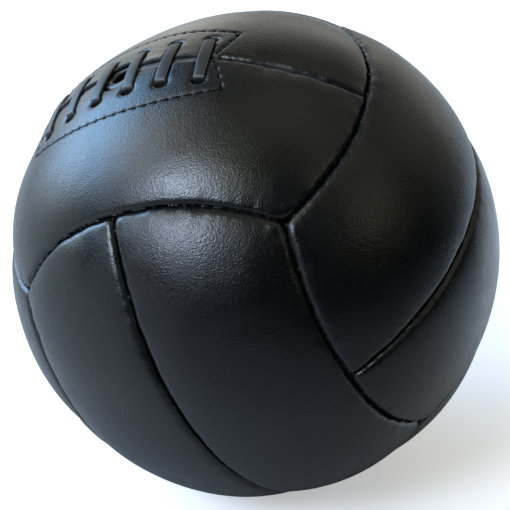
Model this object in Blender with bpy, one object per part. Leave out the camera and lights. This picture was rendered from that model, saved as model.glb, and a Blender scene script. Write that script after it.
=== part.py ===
"""Laced leather medicine ball: twelve sewn panels with cloth linings, a laced slit and a heavy rubber bladder.

The seams follow a rounded cube. Each of its six faces is two panels, and the seam between them runs along X
on the +Z and -Z faces, along Y on the +X and -X faces, and along Z on the +Y and -Y faces. All twelve panels
are one shape, turned by the rotations of a tetrahedron. In this seam frame the laced slit lies on the +Z face,
along X. The whole ball is then tilted to the way it lies, with a small flat where it rests. The origin is the
middle of that flat.
"""

import math

import bmesh
import bpy
import numpy as np
from mathutils import Euler, Matrix, Vector

# Driving dimensions, in metres and radians
RADIUS = 0.120  # mean radius of the leather surface
CROWN = 0.0010  # a panel's middle above the mean radius
SEAM_DIP = 0.0010  # a seam below the mean radius
CROWN_REACH = 0.036  # distance from a seam at which the leather is fully crowned
HOLLOW = 0.0028  # depth of the slack hollow in the leather behind the lacing
HOLLOW_DIRECTION = (-0.05, 0.42, 0.91)  # of its middle, in the seam frame
HOLLOW_ANGLE = math.radians(32)  # from its middle to its rim
LEATHER = 0.0026
CLOTH = 0.0008
GAP = 0.0003  # clearance between neighbouring pieces

SEAM_BULGE = math.radians(54.3)  # reach of a face along its own middle seam, from the face's centre
SEAM_ROUNDNESS = 2.42  # exponent of a seam's sideways curve
CORNER = math.asin(1 / math.sqrt(3))  # latitude at which three faces meet
GROOVE_HALF_WIDTH = 0.0013  # of the V between two panels, at the surface
PANEL_CLEARANCE = 0.00025  # from a seam's centre to a panel's inner edge
THREAD_RADIUS = 0.0004
THREAD_DEPTH = 0.0007  # of a seam thread's centre below the leather surface at the seam
JUNCTION_CLEARANCE = 0.0025  # from a seam thread's end to the junction it stops at

LACING_MIDDLE = -0.0035  # of the lacing, the slit and the valve, along the seam from the laced face's centre
LACE_PITCH = 0.0172
LACE_CROSSINGS = 6
LACE_WIDTH = 0.0052
LACE_THICKNESS = 0.0014
LACE_HOLE_OFFSET = 0.0145  # of a hole's centre from the slit
LACE_HOLE_LENGTH = 0.0070
LACE_HOLE_WIDTH = 0.0044
LACE_BEND = 0.0012  # radius of the lace's bends, to its middle
LACE_LOOP_REACH = 0.0065  # of a hidden loop, sideways from the holes that it joins
SLIT_HALF_LENGTH = 0.050
LEVEL_HALF_LENGTH = 0.070  # of the stretch round the slit that its seam doesn't pull down
SLIT_HALF_WIDTH = 0.0024  # at the slit's middle
SLIT_END_HALF_WIDTH = 0.0008
VALVE_OPENING_RADIUS = 0.010

OUTLINE_NOTCH = 0.048  # from the lacing's middle along the slit to the notch of the stitched outline
OUTLINE_CORNER = 0.055  # the same, to its corners
OUTLINE_START = 0.0030  # of the stitches from the slit's line, at the notch
OUTLINE_END_HALF_WIDTH = 0.020
OUTLINE_MIDDLE_HALF_WIDTH = 0.027
FACING = 0.0012
FACING_MARGIN = 0.0025  # of the facing outside its stitching
FACING_CLEARANCE = 0.0005
STITCH_RADIUS = 0.0004

TONGUE = 0.0015
TONGUE_HALF_LENGTH = 0.054
TONGUE_HALF_WIDTH = 0.024
TONGUE_RISE = 0.0017  # of its middle, which the bladder pushes up between the lace's loops
TONGUE_RISE_HALF_WIDTH = 0.009
TONGUE_RISE_STEP = 0.002  # across the slope beside the raised middle
TONGUE_HOLE_RADIUS = 0.0058
LACED_LINING_START = 0.42  # share of a laced panel's height at which its lining starts

BLADDER_RADIUS = 0.1108
BLADDER_WALL = 0.008
BLADDER_BOSS_DEPTH = 0.004  # of the thickening inside, round the valve
BLADDER_BOSS_RADIUS = 0.012
BLADDER_BOSS_BEVEL = 0.002
VALVE_STEM_RADIUS = 0.0035
VALVE_FLANGE_RADIUS = 0.0055
VALVE_FLANGE = 0.0022
VALVE_STEM_END = 0.002  # of the stem beyond the boss, inside the bladder
NEEDLE_RADIUS = 0.0010
NEEDLE_DEPTH = 0.008

SEAM_STEPS = 4  # straight steps along half of a seam
PULLED_SEAM_STEPS = 60  # points along a seam where it pulls the leather down
LACED_LINING_ROWS = 12  # of which every second one is used
BEND_STEPS = 3  # for each quarter bend of the lace
LOOP_STEPS = 8
SLIT_STEPS = 12
OUTLINE_STEPS = 12
FACING_STEPS = 18
FACING_ROWS = 5
TONGUE_STEPS = 16
OPENING_STEPS = 24
HOLE_STEPS = 12
BLADDER_STEPS = 24
MERIDIAN_STEPS = 12
VALVE_STEPS = 16
SHARP_ANGLE = math.radians(35)  # above which an edge stays sharp

LIE = Euler((math.radians(23.0), math.radians(-23.5), math.radians(-21.5)))
REST_DEPTH = 0.0018  # of the flat that the ball rests on, below the crowned surface

SURFACE = RADIUS + CROWN  # radius of the leather where it is fully crowned
SEAM_SURFACE = RADIUS - SEAM_DIP
CUT_LOW = SURFACE - 0.017  # radii between which the cutters reach
CUT_HIGH = SURFACE + 0.010
REST_HEIGHT = SURFACE - REST_DEPTH  # of the ball's centre above the floor, where the origin lies
FACING_DEPTH = LEATHER + FACING_CLEARANCE  # depths below the leather surface
LOOP_DEPTH = FACING_DEPTH + FACING + GAP
TONGUE_DEPTH = LOOP_DEPTH + LACE_THICKNESS + GAP

DIRECTION_WORDS = {
    (0, 0, 1): ("laced", "upper"),
    (0, 0, -1): ("base", "lower"),
    (1, 0, 0): ("right", "right"),
    (-1, 0, 0): ("left", "left"),
    (0, 1, 0): ("back", "back"),
    (0, -1, 0): ("front", "front"),
}


# Seams, as unit vectors in the seam frame


def face_seam(steps):
    """The seam between the +Z and +X faces, from its lower corner to its upper one in Y."""
    share = np.linspace(-1, 1, steps + 1)
    latitude = CORNER * share
    turn = math.pi / 4 + (SEAM_BULGE - math.pi / 4) * (1 - np.abs(share) ** SEAM_ROUNDNESS)
    flat = np.cos(latitude)
    return np.column_stack([flat * np.sin(turn), np.sin(latitude), flat * np.cos(turn)])


def middle_seam(steps):
    """The seam across the middle of the +Z face, along X."""
    turn = np.linspace(-SEAM_BULGE, SEAM_BULGE, steps + 1)
    return np.column_stack([np.sin(turn), 0 * turn, np.cos(turn)])


def seam_turns():
    """The twelve rotations that carry one panel to each of the twelve places."""
    turns = []
    for shift in range(3):
        cycle = np.roll(np.eye(3), shift, axis=0)
        for signs in ((1, 1, 1), (-1, -1, 1), (-1, 1, -1), (1, -1, -1)):
            turns.append(np.diag(signs) @ cycle)
    return turns


def unit(vectors):
    return vectors / np.linalg.norm(vectors, axis=-1, keepdims=True)


def sewn_points():
    """Points along every sewn seam that pulls the leather down. The flaps lie level, so the slit is left out."""
    middle = middle_seam(2 * PULLED_SEAM_STEPS)
    loops = [turn @ face_seam(PULLED_SEAM_STEPS).T for turn in seam_turns()]
    loops += [turn @ middle.T for turn in seam_turns()]
    points = np.concatenate([loop.T for loop in loops])
    along = RADIUS * np.arctan2(points[:, 0], points[:, 2]) - LACING_MIDDLE
    slit = (np.abs(points[:, 1]) < 1e-6) & (points[:, 2] > 0) & (np.abs(along) < LEVEL_HALF_LENGTH)
    return points[~slit]


class Surface:
    """The leather's outer surface: lowest at a seam, crowned between seams and with one slack hollow."""

    def __init__(self, sewn, hollow):
        self.sewn = sewn
        self.hollow = hollow

    def seen_by(self, turn):
        """The same surface as a panel sees it before it is turned to its place."""
        return Surface(self.sewn @ turn, self.hollow @ turn)

    def radius(self, directions):
        flat = directions.reshape(-1, 3)
        away = RADIUS * np.arccos(np.clip((flat @ self.sewn.T).max(axis=1), -1, 1))
        crown = np.sin(np.pi / 2 * np.minimum(away / CROWN_REACH, 1))
        share = np.minimum(np.arccos(np.clip(flat @ self.hollow, -1, 1)) / HOLLOW_ANGLE, 1)
        sunken = HOLLOW * np.cos(np.pi / 2 * share) ** 2
        return (SEAM_SURFACE + (CROWN + SEAM_DIP) * crown - sunken).reshape(directions.shape[:-1])

    def sunk(self, directions, depth):
        """Points at a depth below the leather surface."""
        return directions * (self.radius(directions) - depth)[..., None]

    def point(self, along, across, depth):
        """Points at a depth, by distance from the lacing's middle along the slit and across it."""
        turn, tilt, depth = np.broadcast_arrays((along + LACING_MIDDLE) / RADIUS, across / RADIUS, depth)
        directions = [np.sin(turn) * np.cos(tilt), np.sin(tilt), np.cos(turn) * np.cos(tilt)]
        return self.sunk(np.stack(directions, axis=-1), depth)


# Mesh helpers


def new_object(name, mesh, material, parent):
    obj = bpy.data.objects.new(name, mesh)
    bpy.context.scene.collection.objects.link(obj)
    if material:
        mesh.materials.append(material)
    obj.parent = parent
    return obj


def mesh_of(name, points, faces):
    """A mesh whose faces are turned to point outwards."""
    built = bmesh.new()
    vertices = [built.verts.new(point) for point in points]
    for face in faces:
        built.faces.new([vertices[index] for index in face])
    bmesh.ops.recalc_face_normals(built, faces=built.faces)
    mesh = bpy.data.meshes.new(name)
    built.to_mesh(mesh)
    built.free()
    mesh.shade_smooth()
    mesh.set_sharp_from_angle(angle=SHARP_ANGLE)
    return mesh


def slab(name, outer, inner):
    """A sheet between two grids of points, closed round its rim. Every cell is split the same way, so that
    sheets laid over each other stay apart."""
    rows, columns = outer.shape[:2]
    number = np.arange(rows * columns).reshape(rows, columns)
    faces = []
    for row in range(rows - 1):
        for column in range(columns - 1):
            near, across = number[row, column], number[row + 1, column + 1]
            for corner in (number[row, column + 1], number[row + 1, column]):
                faces.append([near, corner, across])
                faces.append([index + rows * columns for index in (across, corner, near)])
    rim = rim_indices(rows, columns)
    for (row, column), (next_row, next_column) in zip(rim, rim[1:] + rim[:1]):
        start, end = number[row, column], number[next_row, next_column]
        faces.append([start, end, end + rows * columns, start + rows * columns])
    points = np.concatenate([outer.reshape(-1, 3), inner.reshape(-1, 3)])
    return mesh_of(name, points, faces)


def rim_indices(rows, columns):
    """The rim of a grid, once round."""
    rim = [(0, column) for column in range(columns - 1)]
    rim += [(row, columns - 1) for row in range(rows - 1)]
    rim += [(rows - 1, column) for column in range(columns - 1, 0, -1)]
    rim += [(row, 0) for row in range(rows - 1, 0, -1)]
    return rim


def swept(name, centres, sides, ups, outline):
    """A closed bar: the outline, in (side, up) pairs, carried along the centres."""
    count = len(outline)
    points = [
        centre + side * across + up * height
        for centre, side, up in zip(centres, sides, ups)
        for across, height in outline
    ]
    faces = [list(range(count)), [len(points) - count + index for index in range(count)]]
    for ring in range(len(centres) - 1):
        for index in range(count):
            following = (index + 1) % count
            low, high = ring * count, (ring + 1) * count
            faces.append([low + index, low + following, high + following, high + index])
    return mesh_of(name, points, faces)


def thread(name, centres, radius):
    """A thread of diamond section that follows points on the ball."""
    along = unit(np.gradient(centres, axis=0))
    ups = unit(centres)
    sides = unit(np.cross(along, ups))
    outline = [(radius, 0), (0, radius), (-radius, 0), (0, -radius)]
    return swept(name, centres, sides, ups, outline)


def lathe(name, profile, steps):
    """A solid turned about Z from (radius, height) pairs. The first and last pairs may lie on the axis."""
    points, rings = [], []
    for radius, height in profile:
        if radius == 0:
            rings.append([len(points)] * steps)
            points.append((0, 0, height))
            continue
        rings.append(list(range(len(points), len(points) + steps)))
        for step in range(steps):
            angle = 2 * math.pi * step / steps
            points.append((radius * math.cos(angle), radius * math.sin(angle), height))
    closed = profile[0][0] != 0
    faces = []
    for ring, following in zip(rings, rings[1:] + (rings[:1] if closed else [])):
        for step in range(steps):
            after = (step + 1) % steps
            corners = [ring[step], ring[after], following[after], following[step]]
            faces.append(list(dict.fromkeys(corners)))
    return mesh_of(name, points, faces)


# Panels and linings


def along_polyline(points, count):
    """Points spread evenly over the steps of a seam's straight pieces."""
    place = np.linspace(0, len(points) - 1, count + 1)
    return unit(np.column_stack([np.interp(place, range(len(points)), points[:, axis]) for axis in range(3)]))


def panel_grid(columns, rows, start=0.0):
    """Unit vectors over the panel on the +Y side of the +Z face, from its middle seam outwards."""
    side = face_seam(2 * SEAM_STEPS)[SEAM_STEPS:]
    top_seam = face_seam(2 * SEAM_STEPS)[:, [1, 2, 0]]
    right = along_polyline(side, rows)
    left = right * (-1, 1, 1)
    bottom = along_polyline(middle_seam(2 * SEAM_STEPS), columns)
    top = along_polyline(top_seam, columns)
    s = np.linspace(0, 1, columns + 1)[None, :, None]
    t = np.linspace(0, 1, rows + 1)[:, None, None]
    edges = (1 - t) * bottom[None] + t * top[None] + (1 - s) * left[:, None] + s * right[:, None]
    corners = (1 - t) * ((1 - s) * bottom[0] + s * bottom[-1]) + t * ((1 - s) * top[0] + s * top[-1])
    grid = unit(edges - corners)
    return grid[round(start * rows) :]


def pulled_in(grid, distance):
    """The grid with its rim moved inwards by a distance on the ball."""
    rim = rim_indices(*grid.shape[:2])
    loop = np.array([grid[place] for place in rim])
    along = unit(np.roll(loop, -1, axis=0) - loop)
    inward = unit(np.cross(loop, along))
    before = np.roll(inward, 1, axis=0)
    lean = 1 + (before * inward).sum(axis=1, keepdims=True)
    moved = unit(loop + distance / RADIUS * (before + inward) / lean)
    narrowed = grid.copy()
    for place, point in zip(rim, moved):
        narrowed[place] = point
    return narrowed


def shell(grid, surface, depth, thickness, outer_edge, inner_edge):
    """Outer and inner points of a sheet that starts at a depth below the leather surface."""
    base = surface.radius(grid)[..., None]
    outer = pulled_in(grid, outer_edge) * (base - depth)
    inner = pulled_in(grid, inner_edge) * (base - depth - thickness)
    return outer, inner


def pressed_flat(points, turn, depth):
    """Points at a depth below the leather surface, raised where they would reach through the floor."""
    down = np.array((LIE.to_matrix() @ Matrix(turn)).transposed() @ Vector((0, 0, -1)))
    over = np.maximum(points @ down - (REST_HEIGHT - depth), 0)
    return points - over[..., None] * down


def panel_name(kind, turn):
    face = DIRECTION_WORDS[tuple(np.round(turn @ (0, 0, 1)).astype(int))][0]
    half = DIRECTION_WORDS[tuple(np.round(turn @ (0, 1, 0)).astype(int))][1]
    return f"{kind}_{face}_{half}"


def add_panels(ball, surface, materials):
    """Twelve leather panels, and a cloth lining glued behind each."""
    flap_panels = []
    plain = panel_grid(2 * SEAM_STEPS, SEAM_STEPS)
    fine = panel_grid(4 * SEAM_STEPS, 2 * SEAM_STEPS)
    behind_lacing = panel_grid(2 * SEAM_STEPS, LACED_LINING_ROWS, LACED_LINING_START)[::2]
    for turn in seam_turns():
        name = panel_name("panel", turn)
        laced, resting = "laced" in name, name == "panel_base_front"
        grid = fine if laced or resting else plain
        seen = surface.seen_by(turn)
        outer, inner = shell(grid, seen, 0, LEATHER, GROOVE_HALF_WIDTH, PANEL_CLEARANCE)
        cloth_grid = behind_lacing if laced else plain
        cloth_outer, cloth_inner = shell(
            cloth_grid, seen, LEATHER + GAP, CLOTH, GROOVE_HALF_WIDTH, GROOVE_HALF_WIDTH
        )
        if resting:
            outer = pressed_flat(outer, turn, 0)
            inner = pressed_flat(inner, turn, LEATHER)
            cloth_outer = pressed_flat(cloth_outer, turn, LEATHER + GAP)
            cloth_inner = pressed_flat(cloth_inner, turn, LEATHER + GAP + CLOTH)
        panel = new_object(name, slab(name, outer, inner), materials["leather"], ball)
        panel.matrix_local = Matrix(turn).to_4x4()
        lining_name = panel_name("lining", turn)
        lining = new_object(
            lining_name, slab(lining_name, cloth_outer, cloth_inner), materials["cloth"], ball
        )
        lining.matrix_local = Matrix(turn).to_4x4()
        if laced:
            flap_panels.append(panel)
    return flap_panels


# Seam threads


def trimmed(points, first, last):
    """Points with the ends moved in by these distances on the ball."""
    points = points.copy()
    for end, neighbour, distance in ((0, 1, first), (-1, -2, last)):
        step = points[neighbour] - points[end]
        points[end] += step * distance / (RADIUS * np.linalg.norm(step))
    return points


def add_seam_thread(name, ball, surface, materials, path):
    centres = surface.sunk(path, THREAD_DEPTH)
    new_object(name, thread(name, centres, THREAD_RADIUS), materials["thread"], ball)


def add_seam_threads(ball, surface, materials):
    """One thread in each groove: twelve between faces, five across faces and two beyond the slit."""
    edge = trimmed(face_seam(2 * SEAM_STEPS), JUNCTION_CLEARANCE, JUNCTION_CLEARANCE)
    middle = trimmed(middle_seam(2 * SEAM_STEPS), JUNCTION_CLEARANCE, JUNCTION_CLEARANCE)
    done = set()
    for turn in seam_turns():
        face = DIRECTION_WORDS[tuple(np.round(turn @ (0, 0, 1)).astype(int))][0]
        side = DIRECTION_WORDS[tuple(np.round(turn @ (1, 0, 0)).astype(int))][0]
        add_seam_thread(f"seam_thread_{face}_{side}", ball, surface, materials, edge @ turn.T)
        if face in done or face == "laced":
            continue
        done.add(face)
        add_seam_thread(f"seam_thread_{face}_middle", ball, surface, materials, middle @ turn.T)
    for sign, side in ((-1, "left"), (1, "right")):
        past_slit = SLIT_HALF_LENGTH + JUNCTION_CLEARANCE + sign * LACING_MIDDLE
        turns = middle_turns_past(past_slit / RADIUS)
        points = np.column_stack([sign * np.sin(turns), 0 * turns, np.cos(turns)])
        points = trimmed(points, 0, JUNCTION_CLEARANCE)
        add_seam_thread(f"seam_thread_laced_{side}_end", ball, surface, materials, points)


def middle_turns_past(start):
    """The middle seam's own steps beyond an angle, starting at that angle."""
    steps = np.linspace(0, SEAM_BULGE, SEAM_STEPS + 1)
    shortest = 0.02
    return np.concatenate([[start], steps[steps > start + shortest]])


# Lacing


def lace_places():
    """Where the lace crosses the slit, along it."""
    return (np.arange(LACE_CROSSINGS) - (LACE_CROSSINGS - 1) / 2) * LACE_PITCH


def add_step(points, start_depth, end_depth, along, across, direction):
    """Adds a step through a hole: two quarter bends joined by a straight piece."""
    fall = math.copysign(1, end_depth - start_depth)
    for angle in np.linspace(0, math.pi / 2, BEND_STEPS + 1):
        reach = across - direction * LACE_BEND * (1 - math.sin(angle))
        points.append((along, reach, start_depth + fall * LACE_BEND * (1 - math.cos(angle))))
    for angle in np.linspace(0, math.pi / 2, BEND_STEPS + 1):
        reach = across + direction * LACE_BEND * (1 - math.cos(angle))
        points.append((along, reach, end_depth - fall * LACE_BEND * (1 - math.sin(angle))))


def lace_path():
    """The lace's middle line, as (along, across, depth): over the slit, through a hole, round a hidden loop."""
    over = -GAP - LACE_THICKNESS / 2
    under = LOOP_DEPTH + LACE_THICKNESS / 2
    straight = LACE_HOLE_OFFSET - LACE_BEND
    loop_start = LACE_HOLE_OFFSET + LACE_BEND
    places = lace_places()
    side = 1
    path = [(places[0], side * (loop_start + LACE_LOOP_REACH), under)]
    for number, place in enumerate(places):
        add_step(path, under, over, place, side * LACE_HOLE_OFFSET, -side)
        path += [(place, side * share * straight, over) for share in (0.5, 0, -0.5)]
        add_step(path, over, under, place, -side * LACE_HOLE_OFFSET, -side)
        side = -side
        if number == LACE_CROSSINGS - 1:
            path.append((place, side * (loop_start + LACE_LOOP_REACH), under))
            continue
        for angle in np.linspace(0, math.pi, LOOP_STEPS + 1)[1:-1]:
            along = place + LACE_PITCH / 2 * (1 - math.cos(angle))
            path.append((along, side * (loop_start + LACE_LOOP_REACH * math.sin(angle)), under))
    return np.array(path)


def add_lace(ball, surface, materials):
    path = lace_path()
    flat = unit(np.gradient(path[:, :2], axis=0) + 1e-12)
    for index, (before, after) in enumerate(zip(path[:-1], path[1:])):
        if np.linalg.norm(after[:2] - before[:2]) < 1e-9:
            flat[index] = flat[index - 1]
    along, across, depth = path.T
    centres = surface.point(along, across, depth)
    step = 1e-5
    side_points = surface.point(along + step * flat[:, 1], across - step * flat[:, 0], depth)
    sides = unit(side_points - centres)
    forward = unit(np.gradient(centres, axis=0))
    ups = unit(np.cross(sides, forward))
    half_width, half_height = LACE_WIDTH / 2, LACE_THICKNESS / 2
    outline = [
        (half_width, -half_height),
        (half_width, half_height),
        (-half_width, half_height),
        (-half_width, -half_height),
    ]
    new_object("lace", swept("lace", centres, sides, ups, outline), materials["lace"], ball)


def outline_half_width(share):
    """Half width of the stitched outline, by share of its length from the middle to an end."""
    return OUTLINE_END_HALF_WIDTH + (OUTLINE_MIDDLE_HALF_WIDTH - OUTLINE_END_HALF_WIDTH) * (1 - share**2)


def add_facing(name, ball, surface, materials, side):
    """A leather strip behind one flap, with the outline's notched ends."""
    share = np.linspace(-1, 1, FACING_STEPS + 1)[None, :]
    height = np.linspace(0, 1, FACING_ROWS + 1)[:, None]
    along = share * (OUTLINE_NOTCH + FACING_MARGIN + (OUTLINE_CORNER - OUTLINE_NOTCH) * height)
    inner_edge = SLIT_END_HALF_WIDTH
    across = inner_edge + (outline_half_width(share) + FACING_MARGIN - inner_edge) * height
    outer = surface.point(along, side * across, FACING_DEPTH)
    inner = surface.point(along, side * across, FACING_DEPTH + FACING)
    return new_object(name, slab(name, outer, inner), materials["facing"], ball)


def add_outline_stitching(name, ball, surface, materials, side):
    """The stitches on one flap: a notch, a long bowed side and a notch."""
    share = np.linspace(-1, 1, OUTLINE_STEPS + 1)
    along = share * OUTLINE_CORNER
    across = outline_half_width(share)
    along = np.concatenate([[-OUTLINE_NOTCH], along, [OUTLINE_NOTCH]])
    across = np.concatenate([[OUTLINE_START], across, [OUTLINE_START]])
    centres = surface.point(along, side * across, -GAP - STITCH_RADIUS)
    new_object(name, thread(name, centres, STITCH_RADIUS), materials["thread"], ball)


def add_tongue(ball, surface, materials):
    """A loose strip under the slit, raised along its middle between the lace's hidden loops."""
    along = np.linspace(-TONGUE_HALF_LENGTH, TONGUE_HALF_LENGTH, TONGUE_STEPS + 1)[None, :]
    foot = TONGUE_RISE_HALF_WIDTH + TONGUE_RISE_STEP
    edges = [TONGUE_RISE_HALF_WIDTH, foot, (foot + TONGUE_HALF_WIDTH) / 2, TONGUE_HALF_WIDTH]
    across = np.array([-edge for edge in reversed(edges)] + [0] + edges)[:, None]
    depth = TONGUE_DEPTH - TONGUE_RISE * (np.abs(across) <= TONGUE_RISE_HALF_WIDTH)
    outer = surface.point(along, across, depth)
    inner = surface.point(along, across, depth + TONGUE)
    return new_object("tongue", slab("tongue", outer, inner), materials["facing"], ball)


# Cutters


def lacing_turn(along=0.0):
    """The turn that carries the seam frame's pole to a place on the slit."""
    return Matrix.Rotation((along + LACING_MIDDLE) / RADIUS, 4, "Y")


def cutter(name, mesh, ball, turn):
    obj = new_object(name, mesh, None, ball)
    obj.matrix_local = turn
    obj.hide_render = True
    obj.display_type = "WIRE"
    return obj


def prism(name, outline, low, high):
    """A closed prism along Z over (x, y) pairs."""
    count = len(outline)
    points = [(x, y, z) for z in (low, high) for x, y in outline]
    faces = [list(range(count)), list(range(2 * count - 1, count - 1, -1))]
    for index in range(count):
        following = (index + 1) % count
        faces.append([index, following, following + count, index + count])
    return mesh_of(name, points, faces)


def slit_cutter(ball):
    share = np.linspace(-1, 1, SLIT_STEPS + 1)
    half = SLIT_END_HALF_WIDTH + (SLIT_HALF_WIDTH - SLIT_END_HALF_WIDTH) * (1 - share**2)
    along = RADIUS * np.sin(share * SLIT_HALF_LENGTH / RADIUS)
    outline = list(zip(along, half)) + list(zip(along[::-1], -half[::-1]))
    mesh = prism("slit_cutter", outline, CUT_LOW - SLIT_HALF_LENGTH / 2, CUT_HIGH)
    return cutter("slit_cutter", mesh, ball, lacing_turn())


def round_cutter(name, ball, radius):
    angles = np.linspace(0, 2 * math.pi, OPENING_STEPS + 1)[:-1]
    outline = list(zip(radius * np.cos(angles), radius * np.sin(angles)))
    return cutter(name, prism(name, outline, CUT_LOW, CUT_HIGH), ball, lacing_turn())


def hole_cutter(name, ball, along, across):
    """An oval punch for one lace hole, square to the ball's surface."""
    angles = np.linspace(0, 2 * math.pi, HOLE_STEPS + 1)[:-1]
    outline = list(zip(LACE_HOLE_LENGTH / 2 * np.cos(angles), LACE_HOLE_WIDTH / 2 * np.sin(angles)))
    turn = lacing_turn(along) @ Matrix.Rotation(-across / RADIUS, 4, "X")
    return cutter(name, prism(name, outline, CUT_LOW, CUT_HIGH), ball, turn)


def cut(obj, tool):
    modifier = obj.modifiers.new(tool.name, "BOOLEAN")
    modifier.operation = "DIFFERENCE"
    modifier.solver = "EXACT"
    modifier.object = tool


# Bladder and valve


def add_bladder(ball, materials):
    """A hollow rubber sphere, open only through the valve's counterbored hole under the lacing's middle."""
    inner_radius = BLADDER_RADIUS - BLADDER_WALL
    bore, counterbore = VALVE_STEM_RADIUS + GAP, VALVE_FLANGE_RADIUS + GAP
    boss_low = inner_radius - BLADDER_BOSS_DEPTH
    shoulder = BLADDER_RADIUS - VALVE_FLANGE - GAP
    profile = [(bore, boss_low), (bore, shoulder), (counterbore, shoulder)]
    start = math.asin(counterbore / BLADDER_RADIUS)
    for angle in np.linspace(start, math.pi, MERIDIAN_STEPS + 1)[:-1]:
        profile.append((BLADDER_RADIUS * math.sin(angle), BLADDER_RADIUS * math.cos(angle)))
    profile.append((0, -BLADDER_RADIUS))
    start = math.asin(BLADDER_BOSS_RADIUS / inner_radius)
    inside = [(0, -inner_radius)]
    for angle in np.linspace(math.pi, start, MERIDIAN_STEPS + 1)[1:]:
        inside.append((inner_radius * math.sin(angle), inner_radius * math.cos(angle)))
    inside.append((BLADDER_BOSS_RADIUS - BLADDER_BOSS_BEVEL, boss_low))
    mesh = lathe("bladder", inside + profile, BLADDER_STEPS)
    bladder = new_object("bladder", mesh, materials["rubber"], ball)
    bladder.matrix_local = lacing_turn()


def add_valve(ball, materials):
    """A rubber plug with a flange and a blind needle hole."""
    top = BLADDER_RADIUS - GAP / 2
    flange_low = top - VALVE_FLANGE + GAP / 2
    low = BLADDER_RADIUS - BLADDER_WALL - BLADDER_BOSS_DEPTH - VALVE_STEM_END
    profile = [
        (0, top - NEEDLE_DEPTH),
        (NEEDLE_RADIUS, top - NEEDLE_DEPTH),
        (NEEDLE_RADIUS, top),
        (VALVE_FLANGE_RADIUS, top),
        (VALVE_FLANGE_RADIUS, flange_low),
        (VALVE_STEM_RADIUS, flange_low),
        (VALVE_STEM_RADIUS, low),
        (0, low),
    ]
    valve = new_object("valve", lathe("valve", profile, VALVE_STEPS), materials["valve"], ball)
    valve.matrix_local = lacing_turn()


# Materials and assembly


def make_material(name, colour, roughness):
    material = bpy.data.materials.new(name)
    material.use_nodes = True
    shader = material.node_tree.nodes["Principled BSDF"]
    shader.inputs["Base Color"].default_value = (*colour, 1)
    shader.inputs["Roughness"].default_value = roughness
    shader.inputs["Metallic"].default_value = 0
    return material


def make_materials():
    return {
        "leather": make_material("black_leather", (0.012, 0.012, 0.013), 0.42),
        "facing": make_material("facing_leather", (0.020, 0.019, 0.018), 0.55),
        "lace": make_material("lace_leather", (0.022, 0.022, 0.021), 0.50),
        "cloth": make_material("lining_cloth", (0.55, 0.52, 0.45), 0.90),
        "thread": make_material("waxed_thread", (0.006, 0.006, 0.006), 0.60),
        "rubber": make_material("bladder_rubber", (0.030, 0.028, 0.027), 0.70),
        "valve": make_material("valve_rubber", (0.008, 0.008, 0.008), 0.60),
    }


def build():
    for obj in list(bpy.data.objects):
        bpy.data.objects.remove(obj, do_unlink=True)
    ball = bpy.data.objects.new("ball", None)
    bpy.context.scene.collection.objects.link(ball)
    ball.location = (0, 0, REST_HEIGHT)
    ball.rotation_euler = LIE
    materials = make_materials()
    surface = Surface(sewn_points(), unit(np.array(HOLLOW_DIRECTION)))
    flaps = add_panels(ball, surface, materials)
    add_seam_threads(ball, surface, materials)
    add_lace(ball, surface, materials)
    facings = []
    for side, word in ((-1, "front"), (1, "back")):
        facings.append(add_facing(f"facing_{word}", ball, surface, materials, side))
        add_outline_stitching(f"outline_stitching_{word}", ball, surface, materials, side)
    tongue = add_tongue(ball, surface, materials)
    add_bladder(ball, materials)
    add_valve(ball, materials)

    slit = slit_cutter(ball)
    opening = round_cutter("valve_opening_cutter", ball, VALVE_OPENING_RADIUS)
    for side, word in ((-1, "front"), (1, "back")):
        holes = [
            hole_cutter(f"lace_hole_cutter_{word}_{number}", ball, place, side * LACE_HOLE_OFFSET)
            for number, place in enumerate(lace_places(), 1)
        ]
        pieces = [obj for obj in flaps + facings if obj.name.endswith(word)]
        for piece in pieces:
            for tool in [slit, opening] + holes:
                cut(piece, tool)
    cut(tongue, round_cutter("tongue_hole_cutter", ball, TONGUE_HOLE_RADIUS))


build()
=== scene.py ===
"""Looks of the laced leather medicine ball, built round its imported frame.

Everything is shaped in the ball's seam frame: the slit runs along X over the laced pole at +Z. Each panel is
made once on the +Y side of the +Z face and then turned to its place. Lengths are in metres.
"""

import math

import bmesh
import bpy
import numpy as np
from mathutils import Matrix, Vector, noise
from mathutils.kdtree import KDTree


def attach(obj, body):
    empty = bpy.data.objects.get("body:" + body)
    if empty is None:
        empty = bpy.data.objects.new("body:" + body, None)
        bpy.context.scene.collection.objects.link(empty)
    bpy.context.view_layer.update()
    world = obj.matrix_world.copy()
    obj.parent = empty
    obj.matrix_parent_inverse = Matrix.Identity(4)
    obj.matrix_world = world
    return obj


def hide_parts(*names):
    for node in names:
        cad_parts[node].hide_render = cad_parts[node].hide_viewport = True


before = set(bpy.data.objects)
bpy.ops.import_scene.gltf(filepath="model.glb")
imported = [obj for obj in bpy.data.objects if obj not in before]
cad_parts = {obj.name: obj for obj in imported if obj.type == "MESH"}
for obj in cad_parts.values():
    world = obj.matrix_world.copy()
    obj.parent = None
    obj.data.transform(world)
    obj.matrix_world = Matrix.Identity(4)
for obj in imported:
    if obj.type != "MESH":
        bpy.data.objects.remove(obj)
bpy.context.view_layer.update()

MM = 0.001

# Seam layout, as in the frame
SEAM_BULGE = math.radians(54.3)
SEAM_ROUNDNESS = 2.42
CORNER = math.asin(1 / math.sqrt(3))
SLIT_HALF_LENGTH = 50 * MM
LEVEL_HALF_LENGTH = 70 * MM  # of the lacing's surroundings, where the middle seam doesn't pull the leather in
SEAM_END_CLEAR = 0.03  # share of half a seam that its thread stops short of the corner

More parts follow.
